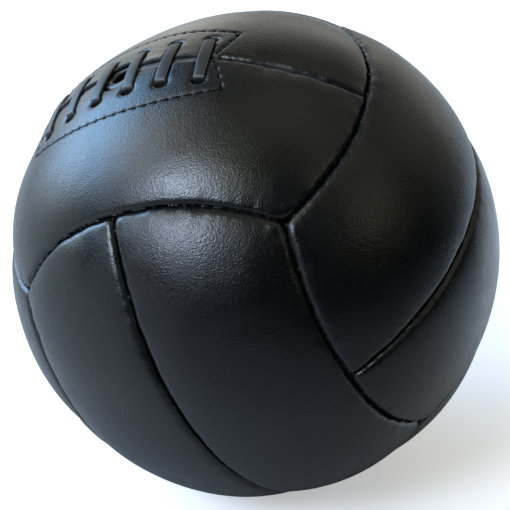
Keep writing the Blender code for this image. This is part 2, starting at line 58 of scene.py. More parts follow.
# Leather
LEATHER = 2.6 * MM
PLAIN_HEIGHT = 85 * MM  # of a panel, for the number of its mesh points
LACED_HEIGHT = 75 * MM
PANEL_STEP = 1.0 * MM  # between mesh points away from the edges
EDGE_STEP = 0.4 * MM
FLAP_STEP = 0.45 * MM
STEP_GROWTH, FLAP_STEP_GROWTH = 0.2, 0.22
FINE_HALF_LENGTH, FINE_HEIGHT = 64 * MM, 31 * MM  # of the finely meshed flap
FLAP_HALF_LENGTH, FLAP_HEIGHT = 62 * MM, 34 * MM  # of the part whose points are moved onto the openings
GROOVE = 0.40 * MM  # half width of the gap between two sewn panels
SHOULDER_WIDTH = 2.9 * MM
SHOULDER_DEPTH = 2.3 * MM
CORNER_ROUNDING = 1.2 * MM
FLANGE = 1.4 * MM  # how far a turned-in edge goes on below its shoulder
CROWN = 2.4 * MM  # from the seams' radius to a panel's middle
CROWN_REACH = 36 * MM
PILLOW = 1.7 * MM  # the part of the crown that rises close to the seams
PILLOW_REACH = 9.5 * MM
HOLLOW = 2.8 * MM  # depth of the slack hollow in the leather behind the lacing
HOLLOW_DIRECTION = (-0.05, 0.42, 0.91)
HOLLOW_ANGLE = math.radians(32)
PUCKER, PUCKER_PITCH, PUCKER_REACH = 0.20 * MM, 7.0 * MM, 5 * MM  # gathers at the seams
WRINKLE, WRINKLE_PITCH, WRINKLE_REACH = 0.10 * MM, 3.0 * MM, 6 * MM  # finer ones between them
WRINKLED_PATCH = 30 * MM
CORNER_REACH = 14 * MM  # over which the gathers grow towards a seam's ends
WAVER, WAVER_PITCH, WAVER_REACH = 0.28 * MM, 2.6 * MM, 2 * MM  # sideways waver of a sewn edge
LUMP, LUMP_SIZE, LUMP_RISE = 0.35 * MM, 55 * MM, 20 * MM  # lumps, which start at the seams
FLAP_LUMP_RISE = 15 * MM  # the same, from the lace holes outwards
FLAP_GATHER_RISE = 9 * MM
REST_SOFTNESS = 0.5 * MM
CLOTH_GRID = (37, 81)  # rows and columns of the simulated panel
CLOTH_PRESSURE = 6.0
CLOTH_FRAMES = 20
CLOTH_SMOOTHING = 16

# Lacing
LACE_PITCH = 17.2 * MM
LACE_CROSSINGS = 6
LACE_HALF_WIDTH = 2.5 * MM
LACE_HALF_THICKNESS = 0.65 * MM
LACE_SUNK = 0.40 * MM  # how far the lace lies pressed into the leather
LACE_HOLE_CENTRE = 14.5 * MM
LACE_HOLE_HALF_LENGTH = 3.2 * MM
LACE_HOLE_HALF_WIDTH = 2.5 * MM
LACE_DIVE = 13.4 * MM  # where the lace goes down, beside its hole's inner rim
LACE_BEND = 1.4 * MM
LACE_LOOP_REACH = 6.0 * MM
LACE_LEANS = (0.5, -0.3, 0.4, -0.5, 0.3, -0.4)  # of the crossings, sideways in millimetres
LACE_TWISTS = (6, -5, 8, -4, 7, -6)  # of the crossings, in degrees
LACE_ARCH = 0.25 * MM
LACE_CUP = 0.12 * MM
LACE_SIDES = 20
LACE_SQUARENESS = 0.35  # exponent of its rounded section
SLIT_HALF_WIDTH = 3.5 * MM
SLIT_END_HALF_WIDTH = 0.9 * MM
SLIT_CLOSING = 3 * MM  # length over which the slit's ends close
SLIT_RIM = 3.5 * MM  # width of the lip and of the closed ends' wear
LIP_FRONT, LIP_BACK = 0.05 * MM, 0.35 * MM  # by which the slit's edges stand up
LIP_RIPPLE, LIP_PITCH = 0.25 * MM, 12 * MM
OPENING_RADIUS = 10 * MM
OPENING_RIM_DEPTH = 0.55 * MM
OUTLINE_NOTCH = 48 * MM
OUTLINE_NOTCH_HALF_WIDTH = 3 * MM
OUTLINE_CORNER = 55 * MM
OUTLINE_END_HALF_WIDTH = 20 * MM
OUTLINE_MIDDLE_HALF_WIDTH = 27 * MM
STITCH_PITCH = 5.2 * MM
LINE_DENT, LINE_DENT_REACH = 0.24 * MM, 1.2 * MM  # along the outline's stitching
HOLE_DENT, HOLE_DENT_REACH = 0.50 * MM, 0.8 * MM  # and more at its stitch holes
LINE_SHADE_NARROWING = 0.25 * MM  # by which the painted shade along the stitches is narrower than that at their holes
OUTLINE_THREAD, OUTLINE_THREAD_DEPTH, OUTLINE_DIP = 0.50 * MM, 0.38 * MM, 0.9 * MM  # dip: at its holes
SEAM_THREAD, SEAM_THREAD_DEPTH, SEAM_DIP = 0.35 * MM, 0.3 * MM, 0.6 * MM  # the same for the rungs in a seam
SEAM_RUNG_REACH = 1.1 * MM
CORE_THREAD, CORE_DEPTH, CORE_STEP = 0.3 * MM, 0.6 * MM, 1.5 * MM  # of the thread that runs under the rungs
FACING, FACING_GAP, FACING_MARGIN = 1.2 * MM, 0.4 * MM, 2.4 * MM

# Tongue
TONGUE = 1.5 * MM
TONGUE_DEPTH = 6.1 * MM  # of its top below the leather's surface, before it swells
TONGUE_HALF_LENGTH, TONGUE_HALF_WIDTH = 54 * MM, 24 * MM
TONGUE_HOLE_RADIUS = 5.0 * MM
TONGUE_HOLE_OFFSET = 1.8 * MM
TONGUE_HOLE_ROLL = 1.2 * MM
TONGUE_RISE = 4.0 * MM  # how far it swells up between the flaps
TONGUE_SWELL = 3.4 * MM  # and in the valve opening
TONGUE_BOW = 1.5 * MM  # and all along the slit
TONGUE_BOW_HALF_WIDTH = 9.5 * MM
TONGUE_WAVE, TONGUE_WAVE_SIZE = 0.25 * MM, 9 * MM

# Inside
LINING, LINING_GAP, LINING_INSET = 0.8 * MM, 0.35 * MM, 4.0 * MM
LACED_LINING_START = 0.42  # share of a laced panel's height
BLADDER_WALL = 8 * MM
BOSS_RADIUS = 12 * MM
RIB, RIB_HALF_ANGLE = 0.35 * MM, 0.006  # moulding line round the bladder

# Studio
FLOOR_HALF = 40.0
FLOOR_SHINE = 0.42  # which only the camera sees
CAMERA_ELEVATION = math.radians(25)
CAMERA_LENS, CAMERA_SENSOR, CAMERA_SHIFT = 86.4, 36, -0.0055


# Places read from the frame


def node_points(name):
    return np.array([vertex.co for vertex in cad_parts[name].data.vertices])


def middle_of(name):
    return node_points(name).mean(axis=0)


def seam_axes():
    """The ball's centre, and its seam frame's axes as columns, from the threads of opposite seams."""
    threads = [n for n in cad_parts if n.startswith("seam_thread") and not n.endswith(("middle", "end"))]
    centre = np.mean([middle_of(name) for name in threads], axis=0)
    pole = centre - middle_of("seam_thread_base_middle")
    pole /= np.linalg.norm(pole)
    along = middle_of("seam_thread_right_middle") - middle_of("seam_thread_left_middle")
    along -= pole * (along @ pole)
    along /= np.linalg.norm(along)
    return centre, np.column_stack([along, np.cross(pole, along), pole])


def reach_of(name):
    """A node's greatest distance from the ball's centre."""
    return np.linalg.norm(node_points(name) - CENTRE, axis=1).max()


CENTRE, AXES = seam_axes()
CROWN_RADIUS = reach_of("panel_front_left")
SEAM_RADIUS = CROWN_RADIUS - CROWN
RADIUS = (CROWN_RADIUS + SEAM_RADIUS) / 2
CAMERA_DISTANCE = 5.142 * RADIUS
BLADDER_RADIUS = reach_of("bladder")
VALVE_DIRECTION = (middle_of("valve") - CENTRE) @ AXES
LACING_MIDDLE = RADIUS * math.atan2(VALVE_DIRECTION[0], VALVE_DIRECTION[2])


def to_world(points, turn=np.eye(3)):
    return points @ (AXES @ turn).T + CENTRE


# Seam curves, as unit vectors


def unit(vectors):
    return vectors / np.linalg.norm(vectors, axis=-1, keepdims=True)


def face_seam(share):
    """The seam between the +Z and +X faces, for shares from -1 at its lower corner to 1 at its upper one."""
    latitude = CORNER * share
    turn = math.pi / 4 + (SEAM_BULGE - math.pi / 4) * (1 - np.abs(share) ** SEAM_ROUNDNESS)
    flat = np.cos(latitude)
    return np.stack([flat * np.sin(turn), np.sin(latitude), flat * np.cos(turn)], axis=-1)


def top_seam(share):
    """The seam between the +Z and +Y faces."""
    return face_seam(share)[..., [1, 2, 0]]


def middle_seam(share):
    turn = SEAM_BULGE * share
    return np.stack([np.sin(turn), 0 * turn, np.cos(turn)], axis=-1)


def seam_turns():
    """The twelve rotations that carry one panel to each of the twelve places."""
    turns = []
    for shift in range(3):
        cycle = np.roll(np.eye(3), shift, axis=0)
        for signs in ((1, 1, 1), (-1, -1, 1), (-1, 1, -1), (1, -1, -1)):
            turns.append(np.diag(signs) @ cycle)
    return turns


DIRECTION_WORDS = {
    (0, 0, 1): ("laced", "upper"),
    (0, 0, -1): ("base", "lower"),
    (1, 0, 0): ("right", "right"),
    (-1, 0, 0): ("left", "left"),
    (0, 1, 0): ("back", "back"),
    (0, -1, 0): ("front", "front"),
}


def face_word(direction, column=0):
    return DIRECTION_WORDS[tuple(np.round(direction).astype(int))][column]


def panel_words(turn):
    return f"{face_word(turn @ (0, 0, 1))}_{face_word(turn @ (0, 1, 0), 1)}"


# Panel grids


def spread(length, step_at):
    """Positions from 0 to 1 along a length, with steps that follow a rule of the position."""
    place = np.linspace(0, length, 4001)
    steps = np.array([step_at(x) for x in place])
    count = np.concatenate([[0], np.cumsum((1 / steps[1:] + 1 / steps[:-1]) / 2 * np.diff(place))])
    whole = max(2, round(count[-1]))
    return np.interp(np.linspace(0, count[-1], whole + 1), count, place) / length


def patch(s, t):
    """Unit vectors on the panel for shares s along it and shares t out from its middle seam."""
    s, t = np.broadcast_arrays(s, t)
    bottom, top = middle_seam(2 * s - 1), top_seam(2 * s - 1)
    right = face_seam(t)
    left = right * (-1, 1, 1)
    ends = [seam(np.array(side)) for seam in (middle_seam, top_seam) for side in (-1.0, 1.0)]
    s, t = s[..., None], t[..., None]
    edges = (1 - t) * bottom + t * top + (1 - s) * left + s * right
    corners = (1 - t) * ((1 - s) * ends[0] + s * ends[1]) + t * ((1 - s) * ends[2] + s * ends[3])
    return unit(edges - corners)


def rim_indices(rows, columns):
    rim = [(0, column) for column in range(columns - 1)]
    rim += [(row, columns - 1) for row in range(rows - 1)]
    rim += [(rows - 1, column) for column in range(columns - 1, 0, -1)]
    rim += [(row, 0) for row in range(rows - 1, 0, -1)]
    return rim


def pulled_in(grid, distance):
    """The grid with its rim moved inwards by a distance on the ball, which may differ round the rim."""
    rim = rim_indices(*grid.shape[:2])
    loop = np.array([grid[place] for place in rim])
    along = unit(np.roll(loop, -1, axis=0) - loop)
    inward = unit(np.cross(loop, along))
    before = np.roll(inward, 1, axis=0)
    lean = 1 + (before * inward).sum(axis=1, keepdims=True)
    moved = unit(loop + np.reshape(distance, (-1, 1)) / RADIUS * (before + inward) / lean)
    narrowed = grid.copy()
    for place, point in zip(rim, moved):
        narrowed[place] = point
    return narrowed


def all_cells(grid):
    return np.ones((grid.shape[0] - 1, grid.shape[1] - 1), bool)


def cell_middles(values):
    return (values[1:, 1:] + values[1:, :-1] + values[:-1, 1:] + values[:-1, :-1]) / 4


def seam_paths():
    """The panel's four edges as dense points."""
    share = np.linspace(-1, 1, 900)
    side = face_seam(np.linspace(0, 1, 450))
    return [middle_seam(share), side, top_seam(share), side * (-1, 1, 1)]


def lengths_along(path):
    return np.concatenate([[0], np.cumsum(np.linalg.norm(np.diff(path, axis=0), axis=1))])


def nearest_on(paths, points):
    """Distances to each path, and how far along it the nearest point lies."""
    answers = []
    flat, shape = points.reshape(-1, 3), points.shape[:-1]
    for path in paths:
        nearest = (flat @ path.T).argmax(axis=1)
        away = np.linalg.norm(flat - path[nearest], axis=1)
        place = lengths_along(path)[nearest]
        answers.append((away.reshape(shape) * RADIUS, place.reshape(shape) * RADIUS))
    return answers


def along_and_across(directions):
    """Distances from the lacing's middle along the slit and across it, on the mean sphere."""
    along = RADIUS * np.arctan2(directions[..., 0], directions[..., 2]) - LACING_MIDDLE
    return along, RADIUS * np.arcsin(np.clip(directions[..., 1], -1, 1))


def from_along_and_across(along, across):
    turn, tilt = np.broadcast_arrays((along + LACING_MIDDLE) / RADIUS, across / RADIUS)
    return np.stack([np.sin(turn) * np.cos(tilt), np.sin(tilt), np.cos(turn) * np.cos(tilt)], axis=-1)


def crown_of(distances, swell=None):
    """Height of the leather above its seams: a soft pillow edge, and the even swell of the whole panel."""
    distances = np.array(distances)
    if swell is None:
        swell = np.prod(np.sin(np.pi / 2 * np.clip(distances / CROWN_REACH, 0, 1)), axis=0)
    return PILLOW * np.prod(1 - np.exp(-distances / PILLOW_REACH), axis=0) + (CROWN - PILLOW) * swell


def hollow_at(directions, turn=np.eye(3)):
    """Depth of the slack hollow, for directions on a panel that is then turned to its place."""
    middle = unit(np.array(HOLLOW_DIRECTION)) @ turn
    share = np.arccos(np.clip(directions @ middle, -1, 1)) / HOLLOW_ANGLE
    return HOLLOW * np.cos(np.pi / 2 * np.clip(share, 0, 1)) ** 2


def field(points, size, seed):
    """Smooth noise between about -1 and 1 at each point, with lumps of a size."""
    shift = Vector((17.3 * seed, -9.1 * seed, 5.7 * seed))
    flat = points.reshape(-1, 3) / size
    return np.array([noise.noise(Vector(p) + shift) for p in flat]).reshape(points.shape[:-1]) * 1.6


def ripple(lengths, pitch, seed):
    """Uneven waves along a seam."""
    flat = lengths.reshape(-1) / pitch
    waves = [noise.noise(Vector((x, 31.7 * seed, 0.5))) for x in flat]
    return np.array(waves).reshape(lengths.shape) * 2.0


def level_surface(directions):
    """Radius of the leather of the laced face without its fine shape: crowned except near sewn seams."""
    middle = middle_seam(np.linspace(-1, 1, 300))
    middle = middle[np.abs(along_and_across(middle)[0]) > LEVEL_HALF_LENGTH]
    side, top = face_seam(np.linspace(-1, 1, 200)), top_seam(np.linspace(-1, 1, 200))
    sewn = [middle, side, side * (-1, 1, 1), top, top * (1, -1, 1)]
    flat = directions.reshape(-1, 3)
    distances = [RADIUS * np.arccos(np.clip((flat @ seam.T).max(axis=1), -1, 1)) for seam in sewn]
    return (SEAM_RADIUS + crown_of(distances)).reshape(directions.shape[:-1]) - hollow_at(directions)


# Mesh making


def mesh_object(name, points, faces, materials, face_materials=None, floats=None):
    mesh = bpy.data.meshes.new(name)
    mesh.from_pydata([tuple(p) for p in points], [], [tuple(int(i) for i in f) for f in faces])
    for material in materials:
        mesh.materials.append(material)
    if face_materials is not None:
        mesh.polygons.foreach_set("material_index", np.array(face_materials, np.int32))
    for key, values in (floats or {}).items():
        attribute = mesh.attributes.new(key, "FLOAT", "POINT")
        attribute.data.foreach_set("value", np.asarray(values, np.float32))
    mesh.validate()
    built = bmesh.new()
    built.from_mesh(mesh)
    bmesh.ops.recalc_face_normals(built, faces=built.faces)
    built.to_mesh(mesh)
    built.free()
    mesh.shade_smooth()
    obj = bpy.data.objects.new(name, mesh)
    bpy.context.scene.collection.objects.link(obj)
    return obj


def grid_cells(rows, columns):
    """The numbers of the four points round each cell of a grid."""
    number = np.arange(rows * columns).reshape(rows, columns)
    return np.stack([number[:-1, :-1], number[:-1, 1:], number[1:, 1:], number[1:, :-1]], axis=-1)


def masked_slab(name, outer, inner, keep, materials, floats=None):
    """A sheet between two grids where cells are kept, with walls round every edge of what is kept."""
    rows, columns = outer.shape[:2]
    cells, under = grid_cells(rows, columns), rows * columns
    tops, padded = cells[keep], np.pad(keep, 1)
    walls = []
    for side, beside in enumerate([padded[:-2, 1:-1], padded[1:-1, 2:], padded[2:, 1:-1], padded[1:-1, :-2]]):
        start, end = cells[keep & ~beside][:, [side, (side + 1) % 4]].T
        walls.append(np.column_stack([end, start, start + under, end + under]))
    faces = np.concatenate([tops, tops[:, ::-1] + under, *walls])
    kinds = [0] * len(tops) + [min(1, len(materials) - 1)] * len(tops)
    kinds += [2 if len(materials) > 2 else 0] * (len(faces) - len(kinds))
    used = np.unique(faces)
    points = np.concatenate([outer.reshape(-1, 3), inner.reshape(-1, 3)])[used]
    kept_floats = {key: np.concatenate([v.ravel(), v.ravel()])[used] for key, v in (floats or {}).items()}
    return mesh_object(name, points, np.searchsorted(used, faces), materials, kinds, kept_floats)


def rested(points, thickness_below):
    """World points pressed up where they would go through the floor, with a soft edge to the flat."""
    height = points[..., 2] - thickness_below
    raised = (height + np.sqrt(height**2 + REST_SOFTNESS**2)) / 2
    answer = points.copy()
    answer[..., 2] = raised + thickness_below
    return answer


def place_piece(obj, node):
    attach(obj, "root")
    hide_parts(node)


# Leather panels


def combined(distances):
    """One distance from several edges, which rounds the corners between them."""
    least = np.min(distances, axis=0)
    return least - CORNER_ROUNDING * np.log(sum(np.exp((least - d) / CORNER_ROUNDING) for d in distances))


def shoulder(away):
    """Depth of the leather below its crown where it rolls into a seam."""
    share = np.clip((away - GROOVE) / SHOULDER_WIDTH, 0, 1)
    return SHOULDER_DEPTH * (1 - np.sqrt(1 - (1 - share) ** 2.2))


def sewn_edges(edges, seed):
    """Distance from the edges as they waver from stitch to stitch, and the gathers' height beside them."""
    distances, gathers = [], 0
    for index, (distance, place) in enumerate(edges):
        mark = seed * 5 + index
        waver = WAVER * ripple(place, WAVER_PITCH, mark + 0.5)
        distances.append(distance - waver * np.exp(-distance / WAVER_REACH))
        corner = np.exp(-np.minimum(place, place.max() - place) / CORNER_REACH)
        waves = PUCKER * ripple(place, PUCKER_PITCH, mark) * (1 + 1.3 * corner)
        gathers = gathers + waves * np.exp(-((distance / PUCKER_REACH) ** 1.5))
        patchy = np.clip(ripple(place, WRINKLED_PATCH, mark + 0.25) + 0.4 + corner, 0, 1.5)
        fine = WRINKLE * ripple(place, WRINKLE_PITCH, mark + 0.75) * patchy
        gathers = gathers + fine * np.exp(-((distance / WRINKLE_REACH) ** 2))
    return combined(distances), gathers


def sewn_surface(grid, edges, swell, turn, seed):
    """Radii of a panel's outside and inside, with its crown, rolled edges, gathers and lumps."""
    away, gathers = sewn_edges(edges, seed)
    crown = crown_of([d for d, _ in edges], swell)
    lumps = field(grid, LUMP_SIZE / RADIUS, seed) * np.clip(away / LUMP_RISE, 0, 1)
    base = SEAM_RADIUS + crown + LUMP * lumps - hollow_at(grid, turn)
    outer = base - shoulder(away) + gathers
    inner = base - np.maximum(LEATHER, shoulder(away) + FLANGE)
    return outer, inner, away


def blown_up_cloth():
    """Swell of one panel, from 0 to 1 at its highest: cloth held round its rim with air behind it."""
    rows, columns = CLOTH_GRID
    flat = patch(np.linspace(0, 1, columns)[None, :], np.linspace(0, 1, rows)[:, None]) * SEAM_RADIUS
    cells = grid_cells(rows, columns).reshape(-1, 4)
    sheet = mesh_object("cloth_sheet", flat.reshape(-1, 3), cells, [])
    rim = [row * columns + column for row, column in rim_indices(rows, columns)]
    sheet.vertex_groups.new(name="held").add(rim, 1.0, "REPLACE")
    cloth = sheet.modifiers.new("cloth", "CLOTH")
    settings = cloth.settings
    settings.quality = 6
    settings.mass = 0.3
    settings.tension_stiffness = settings.compression_stiffness = 30
    settings.shear_stiffness = 10
    settings.bending_stiffness = 2
    settings.vertex_group_mass = "held"
    settings.use_pressure = True
    settings.uniform_pressure_force = CLOTH_PRESSURE
    settings.effector_weights.gravity = 0
    cloth.point_cache.frame_start, cloth.point_cache.frame_end = 1, CLOTH_FRAMES
    for frame_number in range(1, CLOTH_FRAMES + 1):
        bpy.context.scene.frame_set(frame_number)
    settled = sheet.evaluated_get(bpy.context.evaluated_depsgraph_get()).to_mesh()
    points = np.array([vertex.co for vertex in settled.vertices])
    bpy.data.objects.remove(sheet)
    bpy.context.scene.frame_set(1)
    lift = np.abs(np.linalg.norm(points, axis=1) - SEAM_RADIUS).reshape(rows, columns)
    return lift / lift.max()


def finer(values, s, t):
    """A coarse grid's values at shares s and t, smoothed so that no facets show."""
    coarse_t, coarse_s = (np.linspace(0, 1, count) for count in values.shape)
    across = np.array([np.interp(s.ravel(), coarse_s, row) for row in values])
    fine = np.array([np.interp(t.ravel(), coarse_t, column) for column in across.T]).T
    for _ in range(CLOTH_SMOOTHING):
        padded = np.pad(fine, 1, mode="edge")
        fine = (padded[:-2, 1:-1] + padded[2:, 1:-1] + padded[1:-1, :-2] + padded[1:-1, 2:] + 4 * fine) / 8
    return fine


def plain_grid():
    """The points of a sewn panel that has no slit, their distances from its edges, and its swell."""
    length = 2 * SEAM_BULGE * RADIUS
    s = spread(length, edge_steps(length))[None, :]
    t = spread(PLAIN_HEIGHT, edge_steps(PLAIN_HEIGHT))[:, None]
    grid = pulled_in(patch(s, t), GROOVE)
    swell = finer(blown_up_cloth(), s, t)
    return grid, nearest_on(seam_paths(), grid), swell


def edge_steps(length):
    """Steps that are fine at both ends of a length."""
    return lambda x: min(PANEL_STEP, EDGE_STEP + STEP_GROWTH * min(x, length - x))


def plain_panel(grid, edges, swell, turn, seed, materials):
    words = panel_words(turn)
    outer, inner, away = sewn_surface(grid, edges, swell, turn, seed)
    outside = rested(to_world(grid * outer[..., None], turn), 0)
    inside = rested(to_world(grid * inner[..., None], turn), LEATHER)
    far, same = np.full(away.shape, 1.0), np.full(away.shape, float(seed))
    floats = {"seam": away, "mark": far, "wear": far, "seed": same}
    obj = masked_slab(f"leather_{words}", outside, inside, all_cells(grid), materials, floats)
    place_piece(obj, f"panel_{words}")


# Lacing layout


def lace_places():
    return (np.arange(LACE_CROSSINGS) - (LACE_CROSSINGS - 1) / 2) * LACE_PITCH


def crossing_distance(along):
    return np.min([np.abs(along - place) for place in lace_places()], axis=0)


def widened(end, middle, share):
    """A half width that grows from its ends, at shares of -1 and 1, to its middle."""
    return end + (middle - end) * (1 - share**2)


def slit_half_width(along, seed):
    share = np.clip(np.abs(along) / SLIT_HALF_LENGTH, 0, 1)
    base = widened(SLIT_END_HALF_WIDTH, SLIT_HALF_WIDTH, share)
    ragged = ripple(along, 3.5 * MM, seed) * 0.22 * MM + ripple(along, 14 * MM, seed + 3) * 0.35 * MM
    open_part = np.clip((SLIT_HALF_LENGTH - np.abs(along)) / SLIT_CLOSING, 0, 1)
    return GROOVE + (base + ragged - GROOVE) * open_part


def outline_half_width(share):
    return widened(OUTLINE_END_HALF_WIDTH, OUTLINE_MIDDLE_HALF_WIDTH, share)


def outline_path():
    """The stitched outline on the +Y flap as dense (along, across) points, from notch to notch."""
    share = np.linspace(-1, 1, 400)
    side = np.column_stack([share * OUTLINE_CORNER, outline_half_width(share)])
    end = np.linspace(0, 1, 60)[:-1, None]
    start = np.array([-OUTLINE_NOTCH, OUTLINE_NOTCH_HALF_WIDTH]) * (1 - end) + side[0] * end
    last = (start * (-1, 1))[::-1]
    return np.concatenate([start, side, last])


def by_length(path, pitch):
    """Points at whole pitches along a path, spaced evenly so that both ends are used."""
    lengths = lengths_along(path)
    count = max(1, round(lengths[-1] / pitch))
    marks = np.linspace(0, lengths[-1], count + 1)
    return np.column_stack([np.interp(marks, lengths, path[:, axis]) for axis in range(path.shape[1])])


def flat_distance(points, path):
    """Distance from (along, across) points to a path or a set of marks."""
    tree = KDTree(len(path))
    for index, (x, y) in enumerate(path):
        tree.insert((x, y, 0), index)
    tree.balance()
    flat = points.reshape(-1, 2)
    return np.array([tree.find((x, y, 0))[2] for x, y in flat]).reshape(points.shape[:-1])


def hole_reach(along, across):
    """How many times a lace hole's own size a point lies from the nearest hole's centre."""
    beside = crossing_distance(along) / LACE_HOLE_HALF_LENGTH
    return np.hypot(beside, (across - LACE_HOLE_CENTRE) / LACE_HOLE_HALF_WIDTH)


def flap_openings(along, across):
    """Below 1 inside a lace hole or the valve opening."""
    return np.minimum(hole_reach(along, across), np.hypot(along, across) / OPENING_RADIUS)


def edge_points(keep):
    """Which of a grid's points lie between cells that are kept and cells that aren't."""
    rows, columns = keep.shape
    padded = np.zeros((rows + 2, columns + 2), bool)
    padded[1:-1, 1:-1] = keep
    around = [padded[:-1, :-1], padded[:-1, 1:], padded[1:, :-1], padded[1:, 1:]]
    return np.any(around, axis=0) & ~np.all(around, axis=0)


def snapped_to_openings(along, across, keep):
    """Moves the grid's points next to an opening onto its outline."""
    edge = edge_points(keep)
    edge &= flap_openings(along, across) < 1.6
    edge[0] &= np.abs(along[0]) < OPENING_RADIUS * 1.1
    valve = np.hypot(along, across) / OPENING_RADIUS
    near_valve = valve < hole_reach(along, across)
    places = lace_places()
    centre_along = np.where(near_valve, 0, places[np.abs(along[..., None] - places).argmin(axis=-1)])
    centre_across = np.where(near_valve, 0, LACE_HOLE_CENTRE)
    ratio = np.maximum(np.where(edge, flap_openings(along, across), 1), 0.3)
    return centre_along + (along - centre_along) / ratio, centre_across + (across - centre_across) / ratio


def slit_steps(length):
    """Steps along the slit: fine over the lacing and at both ends."""
    near = edge_steps(length)
    return lambda x: min(near(x), growing_step(abs(x - length / 2) - FINE_HALF_LENGTH))


def flap_steps(x):
    """Fine steps over the flap, coarser ones beyond it, and fine ones again at the far seam."""
    return min(PANEL_STEP, EDGE_STEP + STEP_GROWTH * (LACED_HEIGHT - x), growing_step(x - FINE_HEIGHT))


def growing_step(beyond):
    """The fine step of the flap, which grows with the distance beyond the flap's edge."""
    return FLAP_STEP + FLAP_STEP_GROWTH * max(0.0, beyond)


def laced_grid(turn, side, seed):
    """The points of a laced panel, their (along, across) places on the flap, and the cells that are kept."""
    length = 2 * SEAM_BULGE * RADIUS
    s = spread(length, slit_steps(length))[None, :]
    t = spread(LACED_HEIGHT, flap_steps)[:, None]
    edge_along = along_and_across(middle_seam(2 * s - 1) @ turn.T)[0]
    start = slit_half_width(edge_along, seed) / LACED_HEIGHT
    grid = patch(s, start + (1 - start) * t)
    rim_in = np.full(len(rim_indices(*grid.shape[:2])), GROOVE)
    rim_in[1 : s.shape[1] - 1] = 0
    grid = pulled_in(grid, rim_in)
    along, across = along_and_across(grid @ turn.T)
    across = side * across
    keep = flap_openings(cell_middles(along), cell_middles(across)) > 1
    along, across = snapped_to_openings(along, across, keep)
    near = (np.abs(along) < FLAP_HALF_LENGTH) & (across < FLAP_HEIGHT)
    grid = np.where(near[..., None], from_along_and_across(along, side * across) @ turn, grid)
    return grid, along, across, keep


def laced_panel(turn, seed, materials):
    """A panel with half of the slit: its flap is cut back, punched for the lace and sewn to its facing."""
    words = panel_words(turn)
    side = turn[1, 1]
    grid, along, across, keep = laced_grid(turn, side, seed)
    sewn = np.clip((np.abs(along) - SLIT_HALF_LENGTH + SLIT_CLOSING) / SLIT_CLOSING, 0, 1)
    base, roll, away = laced_surface(grid, turn, seed, sewn, across)
    closed_end = sewn * np.exp(-((across / SLIT_RIM) ** 2))
    dents, line = stitching_dents(along, across)
    openings = flap_openings(along, across)
    rim = np.exp(-((np.maximum(openings - 1, 0) / 0.35) ** 1.3)) * (openings > 0.9)
    pressed = pressed_by_lace(along, across)
    from_slit = across - slit_half_width(along, seed)
    lift = np.exp(-((from_slit / SLIT_RIM) ** 2)) * (1 - sewn) * (1 - pressed)
    sunk = OPENING_RIM_DEPTH * rim * (1 - pressed) + (LACE_SUNK + 0.1 * MM) * pressed
    outer = base - roll - dents - sunk
    outer += lift * ((LIP_BACK if side > 0 else LIP_FRONT) + LIP_RIPPLE * ripple(along, LIP_PITCH, seed + 7))
    inner = base - np.maximum(LEATHER, roll + FLANGE)

    outside = to_world(grid * outer[..., None], turn)
    inside = to_world(grid * inner[..., None], turn)
    floats = {
        # seam: distance from the sewn edges, for the wear on their ridges and the painted shade in their
        # grooves
        "seam": away + 0.5 * MM * closed_end,
        # mark: distance from the outline's stitching, for the painted shade along it and in its holes
        "mark": line,
        "wear": 1 + 2 * closed_end,
        "seed": np.full(away.shape, float(seed)),
    }
    obj = masked_slab(f"leather_{words}", outside, inside, keep, materials, floats)
    place_piece(obj, f"panel_{words}")


def pressed_by_lace(along, across):
    """1 under a lace's crossing, where it lies in the leather, and 0 away from it."""
    inside = np.clip((LACE_HOLE_CENTRE + 1.5 * MM - across) / (2 * MM), 0, 1)
    return inside * np.exp(-((crossing_distance(along) / (LACE_HALF_WIDTH + 0.9 * MM)) ** 6))


def laced_surface(grid, turn, seed, sewn, across):
    """Base radii of a laced panel, the depth of its rolled edges, and distances from its sewn edges."""
    edges = nearest_on(seam_paths(), grid)
    edges[0] = (edges[0][0] + (1 - sewn) * SHOULDER_WIDTH * 2, edges[0][1])
    away, gathers = sewn_edges(edges, seed)
    fade = np.clip((across - LACE_HOLE_CENTRE) / FLAP_LUMP_RISE, 0, 1)
    lumps = LUMP * field(grid, LUMP_SIZE / RADIUS, seed) * fade
    base = level_surface(grid @ turn.T) + lumps + gathers * np.clip(sewn + away / FLAP_GATHER_RISE, 0, 1)
    return base, shoulder(away), away


def stitching_dents(along, across):
    """Depth of the stitched outline, deeper at each stitch hole, and the distance that sets the painted shade
    along its stitches and holes.
    """
    flat = np.stack([along, across], axis=-1)
    path = outline_path()
    line = flat_distance(flat, path)
    holes = flat_distance(flat, by_length(path, STITCH_PITCH))
    depth = LINE_DENT * np.exp(-((line / LINE_DENT_REACH) ** 2))
    return depth + HOLE_DENT * np.exp(-((holes / HOLE_DENT_REACH) ** 2)), np.minimum(line + LINE_SHADE_NARROWING, holes)


# Threads


def ring_faces(rings, sides):
    """Faces of a closed tube whose rings of points follow each other."""
    faces = []
    for ring in range(rings - 1):
        for index in range(sides):
            after = (index + 1) % sides
            low, high = ring * sides, (ring + 1) * sides
            faces.append([low + index, low + after, high + after, high + index])
    return faces + [list(range(sides)), [rings * sides - sides + index for index in reversed(range(sides))]]


def tube(centres, radii, sides=8):
    """Points and faces of a closed round thread along the centres."""
    along = unit(np.gradient(centres, axis=0))
    ups = unit(np.cross(unit(np.cross(along, unit(centres))), along))
    across = np.cross(along, ups)
    radii = np.broadcast_to(radii, len(centres))
    points = []
    for centre, side, up, radius in zip(centres, across, ups, radii):
        for index in range(sides):
            angle = 2 * math.pi * index / sides
            points.append(centre + radius * (side * math.cos(angle) + up * math.sin(angle)))
    return points, ring_faces(len(centres), sides)


def thread_piece(name, parts, node, material):
    """One piece made of several threads."""
    points, faces = [], []
    for part_points, part_faces in parts:
        faces += [[index + len(points) for index in face] for face in part_faces]
        points += list(part_points)
    obj = mesh_object(name, to_world(np.array(points)), faces, [material])
    place_piece(obj, node)


